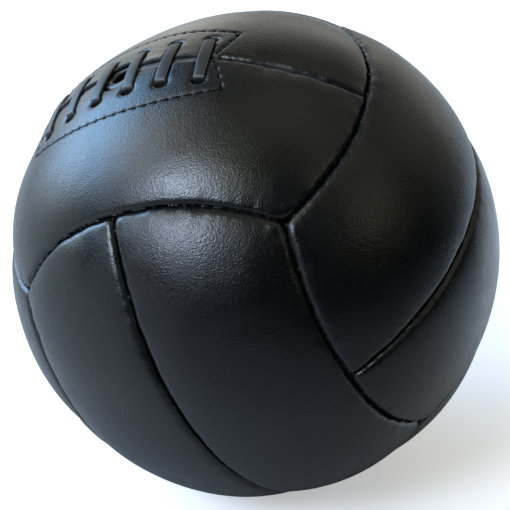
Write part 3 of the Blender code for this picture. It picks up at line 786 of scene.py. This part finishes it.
def stitch(start, end, radius, dip):
    """One stitch between two holes: a short thread whose ends go down into them."""
    share = np.linspace(0, 1, 9)
    centres = start + (end - start) * share[:, None]
    sag = dip * (2 * np.abs(share - 0.5)) ** 4
    centres = centres * (1 - sag[:, None] / np.linalg.norm(centres, axis=1, keepdims=True))
    plump = radius * (0.75 + 0.25 * np.sin(np.pi * share))
    return tube(centres, plump)


def outline_stitches(name, side, node, material):
    """The machine stitches on one flap, each lying in its own dent."""
    marks = by_length(outline_path(), STITCH_PITCH)
    directions = from_along_and_across(marks[:, 0], side * marks[:, 1])
    holes = directions * (level_surface(directions) - OUTLINE_THREAD_DEPTH)[:, None]
    parts = []
    for start, end in zip(holes[:-1], holes[1:]):
        along = (end - start) * 0.08
        parts.append(stitch(start + along, end - along, OUTLINE_THREAD, OUTLINE_DIP))
    thread_piece(name, parts, node, material)


def seam_stitches(name, path, node, material):
    """The thread of one seam: a running core low in the groove, and a rung across it at each stitch."""
    marks = by_length(path, STITCH_PITCH)
    radius = SEAM_RADIUS - SHOULDER_DEPTH - SEAM_THREAD_DEPTH
    core = unit(by_length(path, CORE_STEP)) * (radius - CORE_DEPTH)
    parts = [tube(core, CORE_THREAD, 6)]
    forward = unit(np.gradient(marks, axis=0))
    across = unit(np.cross(forward, unit(marks)))
    for mark, side in zip(unit(marks)[1:-1], across[1:-1]):
        ends = [mark * radius + side * reach for reach in (-SEAM_RUNG_REACH, SEAM_RUNG_REACH)]
        parts.append(stitch(*ends, SEAM_THREAD, SEAM_DIP))
    thread_piece(name, parts, node, material)


def all_seam_stitches(material):
    last = 1 - SEAM_END_CLEAR
    share = np.linspace(-last, last, 400)
    paths = {}
    for turn in seam_turns():
        face, side = face_word(turn @ (0, 0, 1)), face_word(turn @ (1, 0, 0))
        paths[f"{face}_{side}"] = face_seam(share) @ turn.T
        if face != "laced":
            paths.setdefault(f"{face}_middle", middle_seam(share) @ turn.T)
    for sign, word in ((-1, "left"), (1, "right")):
        first = (SLIT_HALF_LENGTH + 1.5 * MM + sign * LACING_MIDDLE) / (SEAM_BULGE * RADIUS)
        paths[f"laced_{word}_end"] = middle_seam(sign * np.linspace(first, last, 200))
    for words, path in paths.items():
        seam_stitches(f"stitches_{words}", path, f"seam_thread_{words}", material)


# Lace


def lace_step(points, start_depth, end_depth, along, across, direction):
    """A step through a hole: two quarter bends joined by a straight piece."""
    fall = math.copysign(1, end_depth - start_depth)
    for angle in np.linspace(0, math.pi / 2, 7):
        reach = across - direction * LACE_BEND * (1 - math.sin(angle))
        points.append((along, reach, start_depth + fall * LACE_BEND * (1 - math.cos(angle))))
    for angle in np.linspace(0, math.pi / 2, 7):
        reach = across + direction * LACE_BEND * (1 - math.cos(angle))
        points.append((along, reach, end_depth - fall * LACE_BEND * (1 - math.sin(angle))))


def lace_path():
    """The lace's middle line as (along, across, depth), and the crossing that each point belongs to."""
    over = -LACE_HALF_THICKNESS + LACE_SUNK
    under = LEATHER + FACING + 2 * FACING_GAP + LACE_HALF_THICKNESS
    loop_start = LACE_DIVE + LACE_BEND
    path, crossing = [], []
    side = 1
    places = lace_places()
    path.append((places[0], side * (loop_start + LACE_LOOP_REACH), under))
    for number, place in enumerate(places):
        lean = LACE_LEANS[number] * MM
        lace_step(path, under, over, place + side * lean, side * LACE_DIVE, -side)
        for share in np.linspace(0.9, -0.9, 13):
            arch = LACE_ARCH * (1 - share**2)
            path.append((place + side * share * lean, side * share * (LACE_DIVE - LACE_BEND), over - arch))
        lace_step(path, over, under, place - side * lean, -side * LACE_DIVE, -side)
        side = -side
        crossing += [number] * (len(path) - len(crossing))
        if number == LACE_CROSSINGS - 1:
            path.append((place, side * (loop_start + LACE_LOOP_REACH), under))
            continue
        for angle in np.linspace(0, math.pi, 17)[1:-1]:
            along = place + LACE_PITCH / 2 * (1 - math.cos(angle))
            path.append((along, side * (loop_start + LACE_LOOP_REACH * math.sin(angle)), under))
    crossing += [LACE_CROSSINGS - 1] * (len(path) - len(crossing))
    return np.array(path), np.array(crossing)


def lace_strap(material):
    path, crossing = lace_path()
    flat = np.gradient(path[:, :2], axis=0)
    steps = np.linalg.norm(np.diff(path[:, :2], axis=0), axis=1)
    flat = unit(flat + 1e-12)
    for index in range(1, len(path)):
        if index < len(steps) and steps[index] < 1e-7:
            flat[index] = flat[index - 1]
    along, across, depth = path.T
    directions = from_along_and_across(along, across)
    radius = level_surface(directions) - depth
    centres = directions * radius[:, None]
    nudge = from_along_and_across(along + 1e-5 * flat[:, 1], across - 1e-5 * flat[:, 0]) * radius[:, None]
    sides = unit(nudge - centres)
    forward = unit(np.gradient(centres, axis=0))
    ups = unit(np.cross(sides, forward))
    sides = unit(np.cross(forward, ups))
    twists = np.radians(LACE_TWISTS)[crossing] * np.sqrt(np.clip(1 - np.abs(across) / LACE_DIVE, 0, 1))
    cos, sin = np.cos(twists)[:, None], np.sin(twists)[:, None]
    sides, ups = sides * cos + ups * sin, ups * cos - sides * sin
    angles = np.linspace(0, 2 * math.pi, LACE_SIDES + 1)[:-1]
    waves = np.array([np.cos(angles), np.sin(angles)])
    wide, tall = np.sign(waves) * np.abs(waves) ** LACE_SQUARENESS
    widths = LACE_HALF_WIDTH * (1 + 0.06 * ripple(np.arange(len(path)) * 1.0, 9.0, 3))
    points, rims = [], []
    for centre, side, up, width in zip(centres, sides, ups, widths):
        for w, h in zip(wide, tall):
            points.append(centre + side * w * width + up * (h * LACE_HALF_THICKNESS - LACE_CUP * w * w))
            rims.append(abs(w))
    faces = ring_faces(len(centres), LACE_SIDES)
    obj = mesh_object("lace_strap", to_world(np.array(points)), faces, [material], None, {"rim": rims})
    place_piece(obj, "lace")


# Pieces under the lacing


def strip_piece(name, directions, top, thickness, keep, material, node):
    """A leather strip under the lacing, between its top's radii and its thickness below them."""
    outer, inner = (to_world(directions * radius[..., None]) for radius in (top, top - thickness))
    place_piece(masked_slab(name, outer, inner, keep, [material]), node)


def facing_strip(name, side, node, material):
    """The leather strip behind one flap, with the same holes and the same notched ends."""
    share = np.linspace(-1, 1, 161)[None, :]
    height = np.linspace(0, 1, 41)[:, None]
    along = share * (OUTLINE_NOTCH + FACING_MARGIN + (OUTLINE_CORNER - OUTLINE_NOTCH) * height)
    start = slit_half_width(along, 4 + side) + 0.5 * MM
    across = start + (outline_half_width(share) + FACING_MARGIN - start) * height
    keep = flap_openings(cell_middles(along), cell_middles(across)) > 1.03
    along, across = snapped_to_openings(along, across, keep)
    directions = from_along_and_across(along, side * across)
    top = level_surface(directions) - LEATHER - FACING_GAP
    strip_piece(name, directions, top, FACING, keep, material, node)


def smooth_step(value, low, high):
    share = np.clip((value - low) / (high - low), 0, 1)
    return share * share * (3 - 2 * share)


def tongue_flap(material):
    """The tongue, pushed up into the slit by the bladder and holed over the valve."""
    share = np.linspace(-1, 1, 141)[:, None]
    row = np.linspace(-TONGUE_HALF_LENGTH, TONGUE_HALF_LENGTH, 241)[None, :]
    along, across = np.broadcast_arrays(row, TONGUE_HALF_WIDTH * np.sign(share) * np.abs(share) ** 1.6)
    keep = np.hypot(cell_middles(along), cell_middles(across) - TONGUE_HOLE_OFFSET) > TONGUE_HOLE_RADIUS
    away = np.hypot(along, across - TONGUE_HOLE_OFFSET)
    hole = edge_points(keep) & (away < 2 * TONGUE_HOLE_RADIUS)
    scale = np.where(hole, TONGUE_HOLE_RADIUS / np.maximum(away, 1e-6), 1)
    along = along * scale
    across = TONGUE_HOLE_OFFSET + (across - TONGUE_HOLE_OFFSET) * scale
    away = np.maximum(away * scale, TONGUE_HOLE_RADIUS)
    directions = from_along_and_across(along, across)
    rise = TONGUE_BOW * np.exp(-((np.abs(across) / TONGUE_BOW_HALF_WIDTH) ** 4))
    room = 0.80 * widened(SLIT_END_HALF_WIDTH, SLIT_HALF_WIDTH, along / TONGUE_HALF_LENGTH)
    between = 1 - smooth_step(np.abs(along), 44 * MM, 49 * MM)
    between = TONGUE_RISE * np.exp(-((across / room) ** 6)) * between
    swell = TONGUE_SWELL * (1 - smooth_step(np.hypot(along, across), 7.5 * MM, 9.4 * MM))
    rolled = TONGUE_HOLE_ROLL * np.exp(-((away - TONGUE_HOLE_RADIUS) / (0.9 * MM)))
    wave = TONGUE_WAVE * field(directions, TONGUE_WAVE_SIZE / RADIUS, 3)
    wave = wave * np.exp(-((across / TONGUE_WAVE_SIZE) ** 2))
    under_lace = 0.5 * MM * pressed_by_lace(along, np.abs(across))
    swollen = rise + np.maximum(between, swell) + wave - rolled - under_lace
    top = level_surface(directions) - TONGUE_DEPTH + swollen
    strip_piece("tongue_strip", directions, top, TONGUE, keep, material, "tongue")


def turned(name, profile, steps, materials):
    """A solid of (radius, height) pairs turned about the line under the lacing's middle."""
    points, rings = [], []
    for radius, height in profile:
        if radius == 0:
            rings.append([len(points)] * steps)
            points.append((0, 0, height))
            continue
        rings.append(list(range(len(points), len(points) + steps)))
        for step in range(steps):
            angle = 2 * math.pi * step / steps
            points.append((radius * math.cos(angle), radius * math.sin(angle), height))
    closed = profile[0][0] != 0
    faces = []
    for ring, following in zip(rings, rings[1:] + (rings[:1] if closed else [])):
        for step in range(steps):
            after = (step + 1) % steps
            faces.append(list(dict.fromkeys([ring[step], ring[after], following[after], following[step]])))
    cos, sin = math.cos(LACING_MIDDLE / RADIUS), math.sin(LACING_MIDDLE / RADIUS)
    tip = np.array([[cos, 0, sin], [0, 1, 0], [-sin, 0, cos]])
    return mesh_object(name, to_world(np.array(points), tip), faces, materials)


def arc(radius, start, end, count):
    """Points of a meridian between two angles from the pole."""
    return [(radius * math.sin(a), radius * math.cos(a)) for a in np.linspace(start, end, count)]


# Profiles in millimetres: radius, and depth below the bladder's outside or the valve's head
BLADDER_MOUTH = [(3.8, 12), (3.8, 2.5), (5.8, 2.5), (5.8, 0.6), (6.6, -0.1), (9, -0.1), (10, 0.5)]
VALVE_HEAD = [(0, 8), (0.9, 7.6), (0.9, 1.4), (1.5, 0.9), (2.2, 0.7), (3, 0.2), (3.6, 0), (4.8, 0)]
VALVE_STEM = [(5.4, 0.5), (5.4, 2.2), (3.5, 2.3), (3.5, 12.85), (3, 13.85), (0, 13.85)]


def profile_below(top, pairs):
    return [(radius * MM, top - depth * MM) for radius, depth in pairs]


def bladder_and_valve(rubber, valve_rubber):
    top, middle, pole = BLADDER_RADIUS, math.pi / 2, math.pi - 0.02
    inner = top - BLADDER_WALL
    outside = profile_below(top, BLADDER_MOUTH)
    outside += arc(top, math.asin(11 * MM / top), middle - 2 * RIB_HALF_ANGLE, 40)
    outside += arc(top + RIB, middle - RIB_HALF_ANGLE, middle + RIB_HALF_ANGLE, 3)
    outside += arc(top, middle + 2 * RIB_HALF_ANGLE, pole, 46) + [(0, -top)]
    inside = [(0, -inner)] + arc(inner, pole, math.asin(BOSS_RADIUS / inner), 70)
    inside += [(BOSS_RADIUS - 2 * MM, inner - 4 * MM)]
    place_piece(turned("bladder_body", inside + outside, 96, [rubber]), "bladder")
    profile = profile_below(top - 0.15 * MM, VALVE_HEAD + VALVE_STEM)
    place_piece(turned("valve_plug", profile, 48, [valve_rubber]), "valve")


def lining(turn, seed, material):
    """The cloth glued behind one panel, inside its turned edges."""
    words = panel_words(turn)
    laced = words.startswith("laced")
    s = np.linspace(0, 1, 57)[None, :]
    t = np.linspace(LACED_LINING_START if laced else 0, 1, 25)[:, None]
    grid = pulled_in(patch(s, t), LINING_INSET)
    crown = crown_of([d for d, _ in nearest_on(seam_paths(), grid)][1 if laced else 0 :])
    base = SEAM_RADIUS + crown + LUMP * field(grid, LUMP_SIZE / RADIUS, seed) - hollow_at(grid, turn)
    depths = (LEATHER + LINING_GAP, LEATHER + LINING_GAP + LINING)
    outer, inner = (rested(to_world(grid * (base - depth)[..., None], turn), depth) for depth in depths)
    obj = masked_slab(f"cloth_{words}", outer, inner, all_cells(grid), [material])
    place_piece(obj, f"lining_{words}")


# Materials


class Nodes:
    """A short way to build the node tree of a new material or of the world."""

    def __init__(self, owner):
        self.owner = owner
        owner.use_nodes = True
        self.tree = owner.node_tree

    def put(self, socket, value):
        if isinstance(value, bpy.types.NodeSocket):
            self.tree.links.new(value, socket)
        else:
            socket.default_value = value

    def add(self, kind, inputs, output=0, **settings):
        """Adds a node with values or other nodes' outputs for its inputs, and returns one of its outputs."""
        node = self.tree.nodes.new(f"ShaderNode{kind}")
        for key, value in settings.items():
            setattr(node, key, value)
        for key, value in inputs.items():
            self.put(node.inputs[key], value)
        return node.outputs[output]

    def noise(self, vector, scale, detail=3.0, roughness=0.55, distortion=0.0):
        shape = {"Scale": scale, "Detail": detail, "Roughness": roughness, "Distortion": distortion}
        return self.add("TexNoise", {"Vector": vector, **shape})

    def cells(self, vector, scale):
        return self.add("TexVoronoi", {"Vector": vector, "Scale": scale}, feature="SMOOTH_F1")

    def waves(self, vector, scale, distortion, direction):
        inputs = {"Vector": vector, "Scale": scale, "Distortion": distortion}
        return self.add("TexWave", inputs, "Fac", wave_type="BANDS", bands_direction=direction)

    def ranged(self, value, low, high, out_low, out_high):
        limits = {"From Min": low, "From Max": high, "To Min": out_low, "To Max": out_high}
        return self.add("MapRange", {"Value": value, **limits})

    def math(self, operation, *values):
        return self.add("Math", dict(enumerate(values)), operation=operation)

    def vectors(self, operation, *values, output=0):
        return self.add("VectorMath", dict(enumerate(values)), output, operation=operation)

    def mixed(self, factor, first, second):
        first, second = ((*value, 1) if isinstance(value, tuple) else value for value in (first, second))
        return self.add("Mix", {0: factor, 6: first, 7: second}, 2, data_type="RGBA")

    def bump(self, height, distance, strength, *normal):
        inputs = {"Height": height, "Distance": distance, "Strength": strength}
        return self.add("Bump", inputs | {"Normal": socket for socket in normal})

    def displaced(self, vector, scale, distance):
        """The coordinates shifted about by smooth noise, by up to half of the distance each way."""
        warp = self.add("TexNoise", {"Vector": vector, "Scale": scale, "Detail": 1.0}, "Color")
        return self.vectors("MULTIPLY_ADD", warp, (distance, distance, distance), vector)

    def coordinates(self):
        return self.add("TexCoord", {}, "Object")

    def attribute(self, name):
        return self.add("Attribute", {}, "Fac", attribute_name=name)

    def surface(self, colour, roughness, normal, **others):
        """Gives the results to the material's shader; an underscore stands for a space in an input's name."""
        shader = self.tree.nodes["Principled BSDF"]
        for key, value in {"Base_Color": colour, "Roughness": roughness, "Normal": normal, **others}.items():
            self.put(shader.inputs[key.replace("_", " ")], value)
        return self.owner


def new_material(name):
    return Nodes(bpy.data.materials.new(name))


def black_leather():
    """Fine-grained cowhide: close pebbles with short creases whose direction wanders, smoother in places."""
    n = new_material("black_leather_grain")
    apart = n.add("VectorMath", {0: (0.37, 0.53, 0.71), "Scale": n.attribute("seed")}, operation="SCALE")
    place = n.vectors("ADD", n.coordinates(), apart)  # moved by an amount that differs between panels
    drift = n.displaced(place, 34.0, 9 * MM)
    long_way = n.vectors("MULTIPLY", drift, (1.0, 0.60, 0.85))
    cross_way = n.vectors("MULTIPLY", n.displaced(place, 22.0, 14 * MM), (0.60, 1.0, 0.75))
    pebbles = n.cells(n.displaced(drift, 500.0, 0.7 * MM), 1400.0)
    creases = n.noise(long_way, 1900.0, 3.0, 0.68, 0.20)
    cross_creases = n.noise(cross_way, 1550.0, 3.0, 0.64, 0.20)
    folds = n.noise(place, 80.0, 3.0, 0.55, 0.6)
    patches = n.noise(place, 16.0, 3.0, 0.5)
    smudges = n.noise(place, 48.0, 5.0, 0.65, 0.4)
    worked = n.ranged(n.noise(place, 26.0, 2.0), 0.38, 0.62, 0.15, 1.0)

    ridge = n.ranged(n.attribute("seam"), 0.9 * MM, 2.4 * MM, 1.0, 0.0)
    rubbed = n.math("MULTIPLY", ridge, n.ranged(smudges, 0.35, 0.65, 0.04, 0.26))
    base = n.mixed(patches, (0.0013, 0.0014, 0.0017), (0.0029, 0.0028, 0.0026))
    worn = n.mixed(n.math("MULTIPLY", rubbed, n.attribute("wear")), base, (0.060, 0.061, 0.062))
    # Painted shade: in the seam grooves and along the outline's stitch line and holes, the leather gets a
    # near-black colour and almost no reflection. The teeth make the edge of the painted groove shade ragged.
    teeth = n.ranged(n.noise(place, 620.0, 2.0, 0.6), 0.38, 0.62, -0.32 * MM, 0.30 * MM)
    groove_shade = n.ranged(n.math("ADD", n.attribute("seam"), teeth), 0.40 * MM, 0.75 * MM, 1.0, 0.0)
    stitch_shade = n.ranged(n.attribute("mark"), 0.55 * MM, 1.0 * MM, 1.0, 0.0)
    painted_crevice_shade = n.math("MAXIMUM", groove_shade, stitch_shade)
    colour = n.mixed(painted_crevice_shade, worn, (0.001, 0.001, 0.001))
    shine = n.ranged(painted_crevice_shade, 0.0, 1.0, 0.5, 0.08)
    rough = n.math("ADD", n.ranged(smudges, 0.3, 0.75, 0.21, 0.33), n.ranged(pebbles, 0.0, 0.6, -0.03, 0.05))
    normal = n.bump(folds, 0.50 * MM, 0.30)
    normal = n.bump(n.math("MULTIPLY", creases, worked), 0.17 * MM, 0.48, normal)
    normal = n.bump(cross_creases, 0.14 * MM, 0.32, normal)
    normal = n.bump(pebbles, 0.15 * MM, 0.62, normal)
    return n.surface(colour, rough, normal, Specular_IOR_Level=shine, IOR=1.5)


def raw_leather(name, colour, light, roughness):
    """Flesh side and cut edges: fibrous, matt and a little paler."""
    n = new_material(name)
    place = n.coordinates()
    fibres = n.noise(place, 900.0, 4.0, 0.7, 1.2)
    patches = n.noise(place, 120.0, 3.0, 0.6)
    rough = n.ranged(fibres, 0.2, 0.8, roughness, min(1.0, roughness + 0.15))
    patchy = n.mixed(n.math("MULTIPLY", fibres, patches), colour, light)
    return n.surface(patchy, rough, n.bump(fibres, 0.15 * MM, 0.6))


def lace_leather():
    n = new_material("lace_leather_strip")
    place = n.coordinates()
    streaks = n.noise(place, 300.0, 4.0, 0.6, 0.5)
    rim = n.math("POWER", n.attribute("rim"), 9.0)
    worn = n.math("MULTIPLY", rim, n.ranged(streaks, 0.3, 0.6, 0.35, 1.0))
    top = n.mixed(streaks, (0.010, 0.010, 0.0105), (0.020, 0.0195, 0.018))
    rough = n.math("ADD", n.ranged(streaks, 0.3, 0.7, 0.40, 0.50), n.math("MULTIPLY", rim, 0.25))
    normal = n.bump(n.cells(place, 900.0), 0.06 * MM, 0.4, n.bump(streaks, 0.2 * MM, 0.3))
    return n.surface(n.mixed(worn, top, (0.085, 0.082, 0.070)), rough, normal)


def waxed_thread():
    n = new_material("waxed_thread_plies")
    place = n.coordinates()
    plies = n.waves(place, 900.0, 1.5, "DIAGONAL")
    fuzz = n.noise(place, 2600.0, 3.0)
    colour = n.mixed(fuzz, (0.001, 0.001, 0.001), (0.004, 0.004, 0.004))
    rough = n.ranged(fuzz, 0.3, 0.7, 0.55, 0.75)
    return n.surface(colour, rough, n.bump(plies, 0.12 * MM, 0.7), Specular_IOR_Level=0.12)


def lining_cloth():
    n = new_material("cotton_lining_weave")
    place = n.coordinates()
    weave = n.math("MULTIPLY", *[n.waves(place, 420.0, 0.6, direction) for direction in "XZ"])
    colour = n.mixed(n.noise(place, 30.0, 4.0), (0.42, 0.39, 0.32), (0.58, 0.55, 0.47))
    return n.surface(colour, 0.92, n.bump(weave, 0.2 * MM, 0.6))


def black_rubber(name, colour, roughness):
    n = new_material(name)
    place = n.coordinates()
    dust = n.noise(place, 70.0, 5.0, 0.65)
    dusty = n.mixed(dust, colour, tuple(2.2 * c for c in colour))
    rough = n.ranged(dust, 0.3, 0.7, roughness, roughness + 0.15)
    return n.surface(dusty, rough, n.bump(n.noise(place, 1400.0, 2.0), 0.05 * MM, 0.4))


# Studio


def pale_floor():
    """A wide floor that is bright to the camera, while the light it gives to the ball differs by place."""
    n = new_material("pale_floor")
    mesh = bpy.data.meshes.new("floor")
    corners = [(x * FLOOR_HALF, y * FLOOR_HALF, 0) for x, y in ((-1, -1), (1, -1), (1, 1), (-1, 1))]
    mesh.from_pydata(corners, [], [(0, 1, 2, 3)])
    mesh.materials.append(n.owner)
    floor = bpy.data.objects.new("floor", mesh)
    floor.location.z = -0.2 * MM
    bpy.context.scene.collection.objects.link(floor)

    shader = n.tree.nodes["Principled BSDF"]
    shader.inputs["Base Color"].default_value = (0.80, 0.80, 0.80, 1)
    shader.inputs["Roughness"].default_value = 0.8
    seen = n.add("AddShader", {0: shader.outputs[0], 1: n.add("Emission", {"Strength": FLOOR_SHINE})})
    place = n.coordinates()
    x, y = (n.add("SeparateXYZ", {0: place}, axis) for axis in "XY")
    away = n.vectors("LENGTH", place, output="Value")
    # Painted light and shade in the floor colour that only the ball sees: brighter behind left and to the
    # right, dimmer far to the front right, and a painted shadow round the ball's foot (under).
    behind_left = n.ranged(n.math("SUBTRACT", n.math("MULTIPLY", y, 1.5), x), -0.40, -0.12, 0.27, 0.62)
    under = n.ranged(away, 0.05, 0.19, 0.28, 1.0)
    front_right = n.ranged(n.math("SUBTRACT", x, y), 0.55, 1.0, 1.0, 0.10)
    bounce = n.math("MULTIPLY", n.math("MULTIPLY", behind_left, under), front_right)
    right = n.math("MULTIPLY", n.ranged(x, 0.05, 0.25, 0.0, 1.0), n.ranged(y, -0.22, 0.0, 0.0, 1.0))
    right = n.math("MULTIPLY", right, n.ranged(away, 0.45, 0.9, 0.27, 0.0))
    dim = n.add("BsdfDiffuse", {"Color": n.math("ADD", bounce, right)})
    mix = n.add("MixShader", {0: n.add("LightPath", {}, "Is Camera Ray"), 1: dim, 2: seen})
    n.put(n.tree.nodes["Material Output"].inputs["Surface"], mix)


def glow(n, azimuth, elevation, core, rim, colour, strength):
    """A soft patch of light round the ball: full within the core's angle, gone at the rim's, in degrees."""
    turn, rise = math.radians(azimuth), math.radians(elevation)
    towards = (math.cos(rise) * math.cos(turn), math.cos(rise) * math.sin(turn), math.sin(rise))
    facing = n.vectors("DOT_PRODUCT", n.add("TexCoord", {}, "Generated"), towards, output="Value")
    limits = {"From Min": math.cos(math.radians(rim)), "From Max": math.cos(math.radians(core))}
    fade = n.add("MapRange", {"Value": facing, **limits}, interpolation_type="SMOOTHERSTEP")
    return n.add("Background", {"Color": (*colour, 1), "Strength": n.math("MULTIPLY", fade, strength)})


BLUE, PALE_BLUE, NEUTRAL, WARM = (0.34, 0.62, 1.0), (0.58, 0.74, 1.0), (1.0, 1.0, 0.92), (1.0, 0.97, 0.66)

# Azimuth from +X towards +Y, elevation, core and rim angles in degrees, colour, strength
WINDOW = [(150, 26, 6, 26, BLUE, 9.5), (172, 28, 4, 24, BLUE, 2.6), (-168, 28, 4, 22, PALE_BLUE, 1.8)]
SOFTBOX = [(-133, 37, 3, 13, PALE_BLUE, 27), (-124, 26, 4, 22, PALE_BLUE, 1.8), (-146, 26, 4, 22, NEUTRAL, 1)]
CEILING = [
    (180, 48, 4, 24, NEUTRAL, 2.8),
    (-122, 46, 4, 22, WARM, 2.2),
    (-30, 48, 6, 26, NEUTRAL, 0.25),
    (-27, 29, 2, 13, WARM, 1.1),
    (20, 52, 10, 40, NEUTRAL, 0.22),
    (0, 85, 5, 30, WARM, 0.4),
]
PALE_WALLS = [
    (160, 8, 4, 22, WARM, 1.4),
    (138, 8, 4, 22, NEUTRAL, 0.55),
    (112, 8, 6, 24, NEUTRAL, 1.3),
    (90, 28, 8, 30, NEUTRAL, 1.0),
    (60, 8, 6, 24, NEUTRAL, 0.65),
    (35, 22, 10, 30, NEUTRAL, 0.2),
]


def studio():
    """Soft surroundings: a window on the left, a softbox at the front left, a dim ceiling and pale walls."""
    world = bpy.data.worlds.new("studio")
    bpy.context.scene.world = world
    n = Nodes(world)
    base = n.tree.nodes["Background"]
    base.inputs["Color"].default_value = (0.6, 0.75, 0.8, 1)
    base.inputs["Strength"].default_value = 0.004
    total = base.outputs[0]
    for light in WINDOW + SOFTBOX + CEILING + PALE_WALLS:
        total = n.add("AddShader", {0: total, 1: glow(n, *light)})
    n.put(n.tree.nodes["World Output"].inputs["Surface"], total)


def camera():
    data = bpy.data.cameras.new("camera")
    data.lens, data.sensor_width, data.shift_y = CAMERA_LENS, CAMERA_SENSOR, CAMERA_SHIFT
    obj = bpy.data.objects.new("camera", data)
    away = Vector((0, -math.cos(CAMERA_ELEVATION), math.sin(CAMERA_ELEVATION)))
    obj.location = Vector(CENTRE.tolist()) + away * float(CAMERA_DISTANCE)
    obj.rotation_euler = away.to_track_quat("Z", "Y").to_euler()
    bpy.context.scene.collection.objects.link(obj)
    bpy.context.scene.camera = obj


# Assembly


def build():
    leather = black_leather()
    flesh = raw_leather("leather_flesh_side", (0.012, 0.011, 0.010), (0.05, 0.045, 0.038), 0.75)
    cut_edge = raw_leather("leather_cut_edge", (0.006, 0.006, 0.006), (0.03, 0.028, 0.024), 0.7)
    facing = raw_leather("facing_leather_suede", (0.010, 0.010, 0.010), (0.030, 0.029, 0.027), 0.6)
    thread = waxed_thread()
    cloth = lining_cloth()
    plain = plain_grid()
    for seed, turn in enumerate(seam_turns(), 1):
        if panel_words(turn).startswith("laced"):
            laced_panel(turn, seed, [leather, flesh, cut_edge])
        else:
            plain_panel(*plain, turn, seed, [leather, flesh, leather])
        lining(turn, seed, cloth)
    all_seam_stitches(thread)
    lace_strap(lace_leather())
    for side, word in ((-1, "front"), (1, "back")):
        outline_stitches(f"flap_stitches_{word}", side, f"outline_stitching_{word}", thread)
        facing_strip(f"flap_facing_{word}", side, f"facing_{word}", facing)
    tongue_flap(raw_leather("tongue_leather_smooth", (0.014, 0.014, 0.015), (0.040, 0.040, 0.040), 0.30))
    bladder_and_valve(
        black_rubber("bladder_rubber_skin", (0.020, 0.019, 0.018), 0.6),
        black_rubber("valve_rubber_skin", (0.006, 0.006, 0.006), 0.5),
    )
    pale_floor()
    studio()
    camera()
    bpy.context.scene.view_settings.view_transform = "Standard"


build()
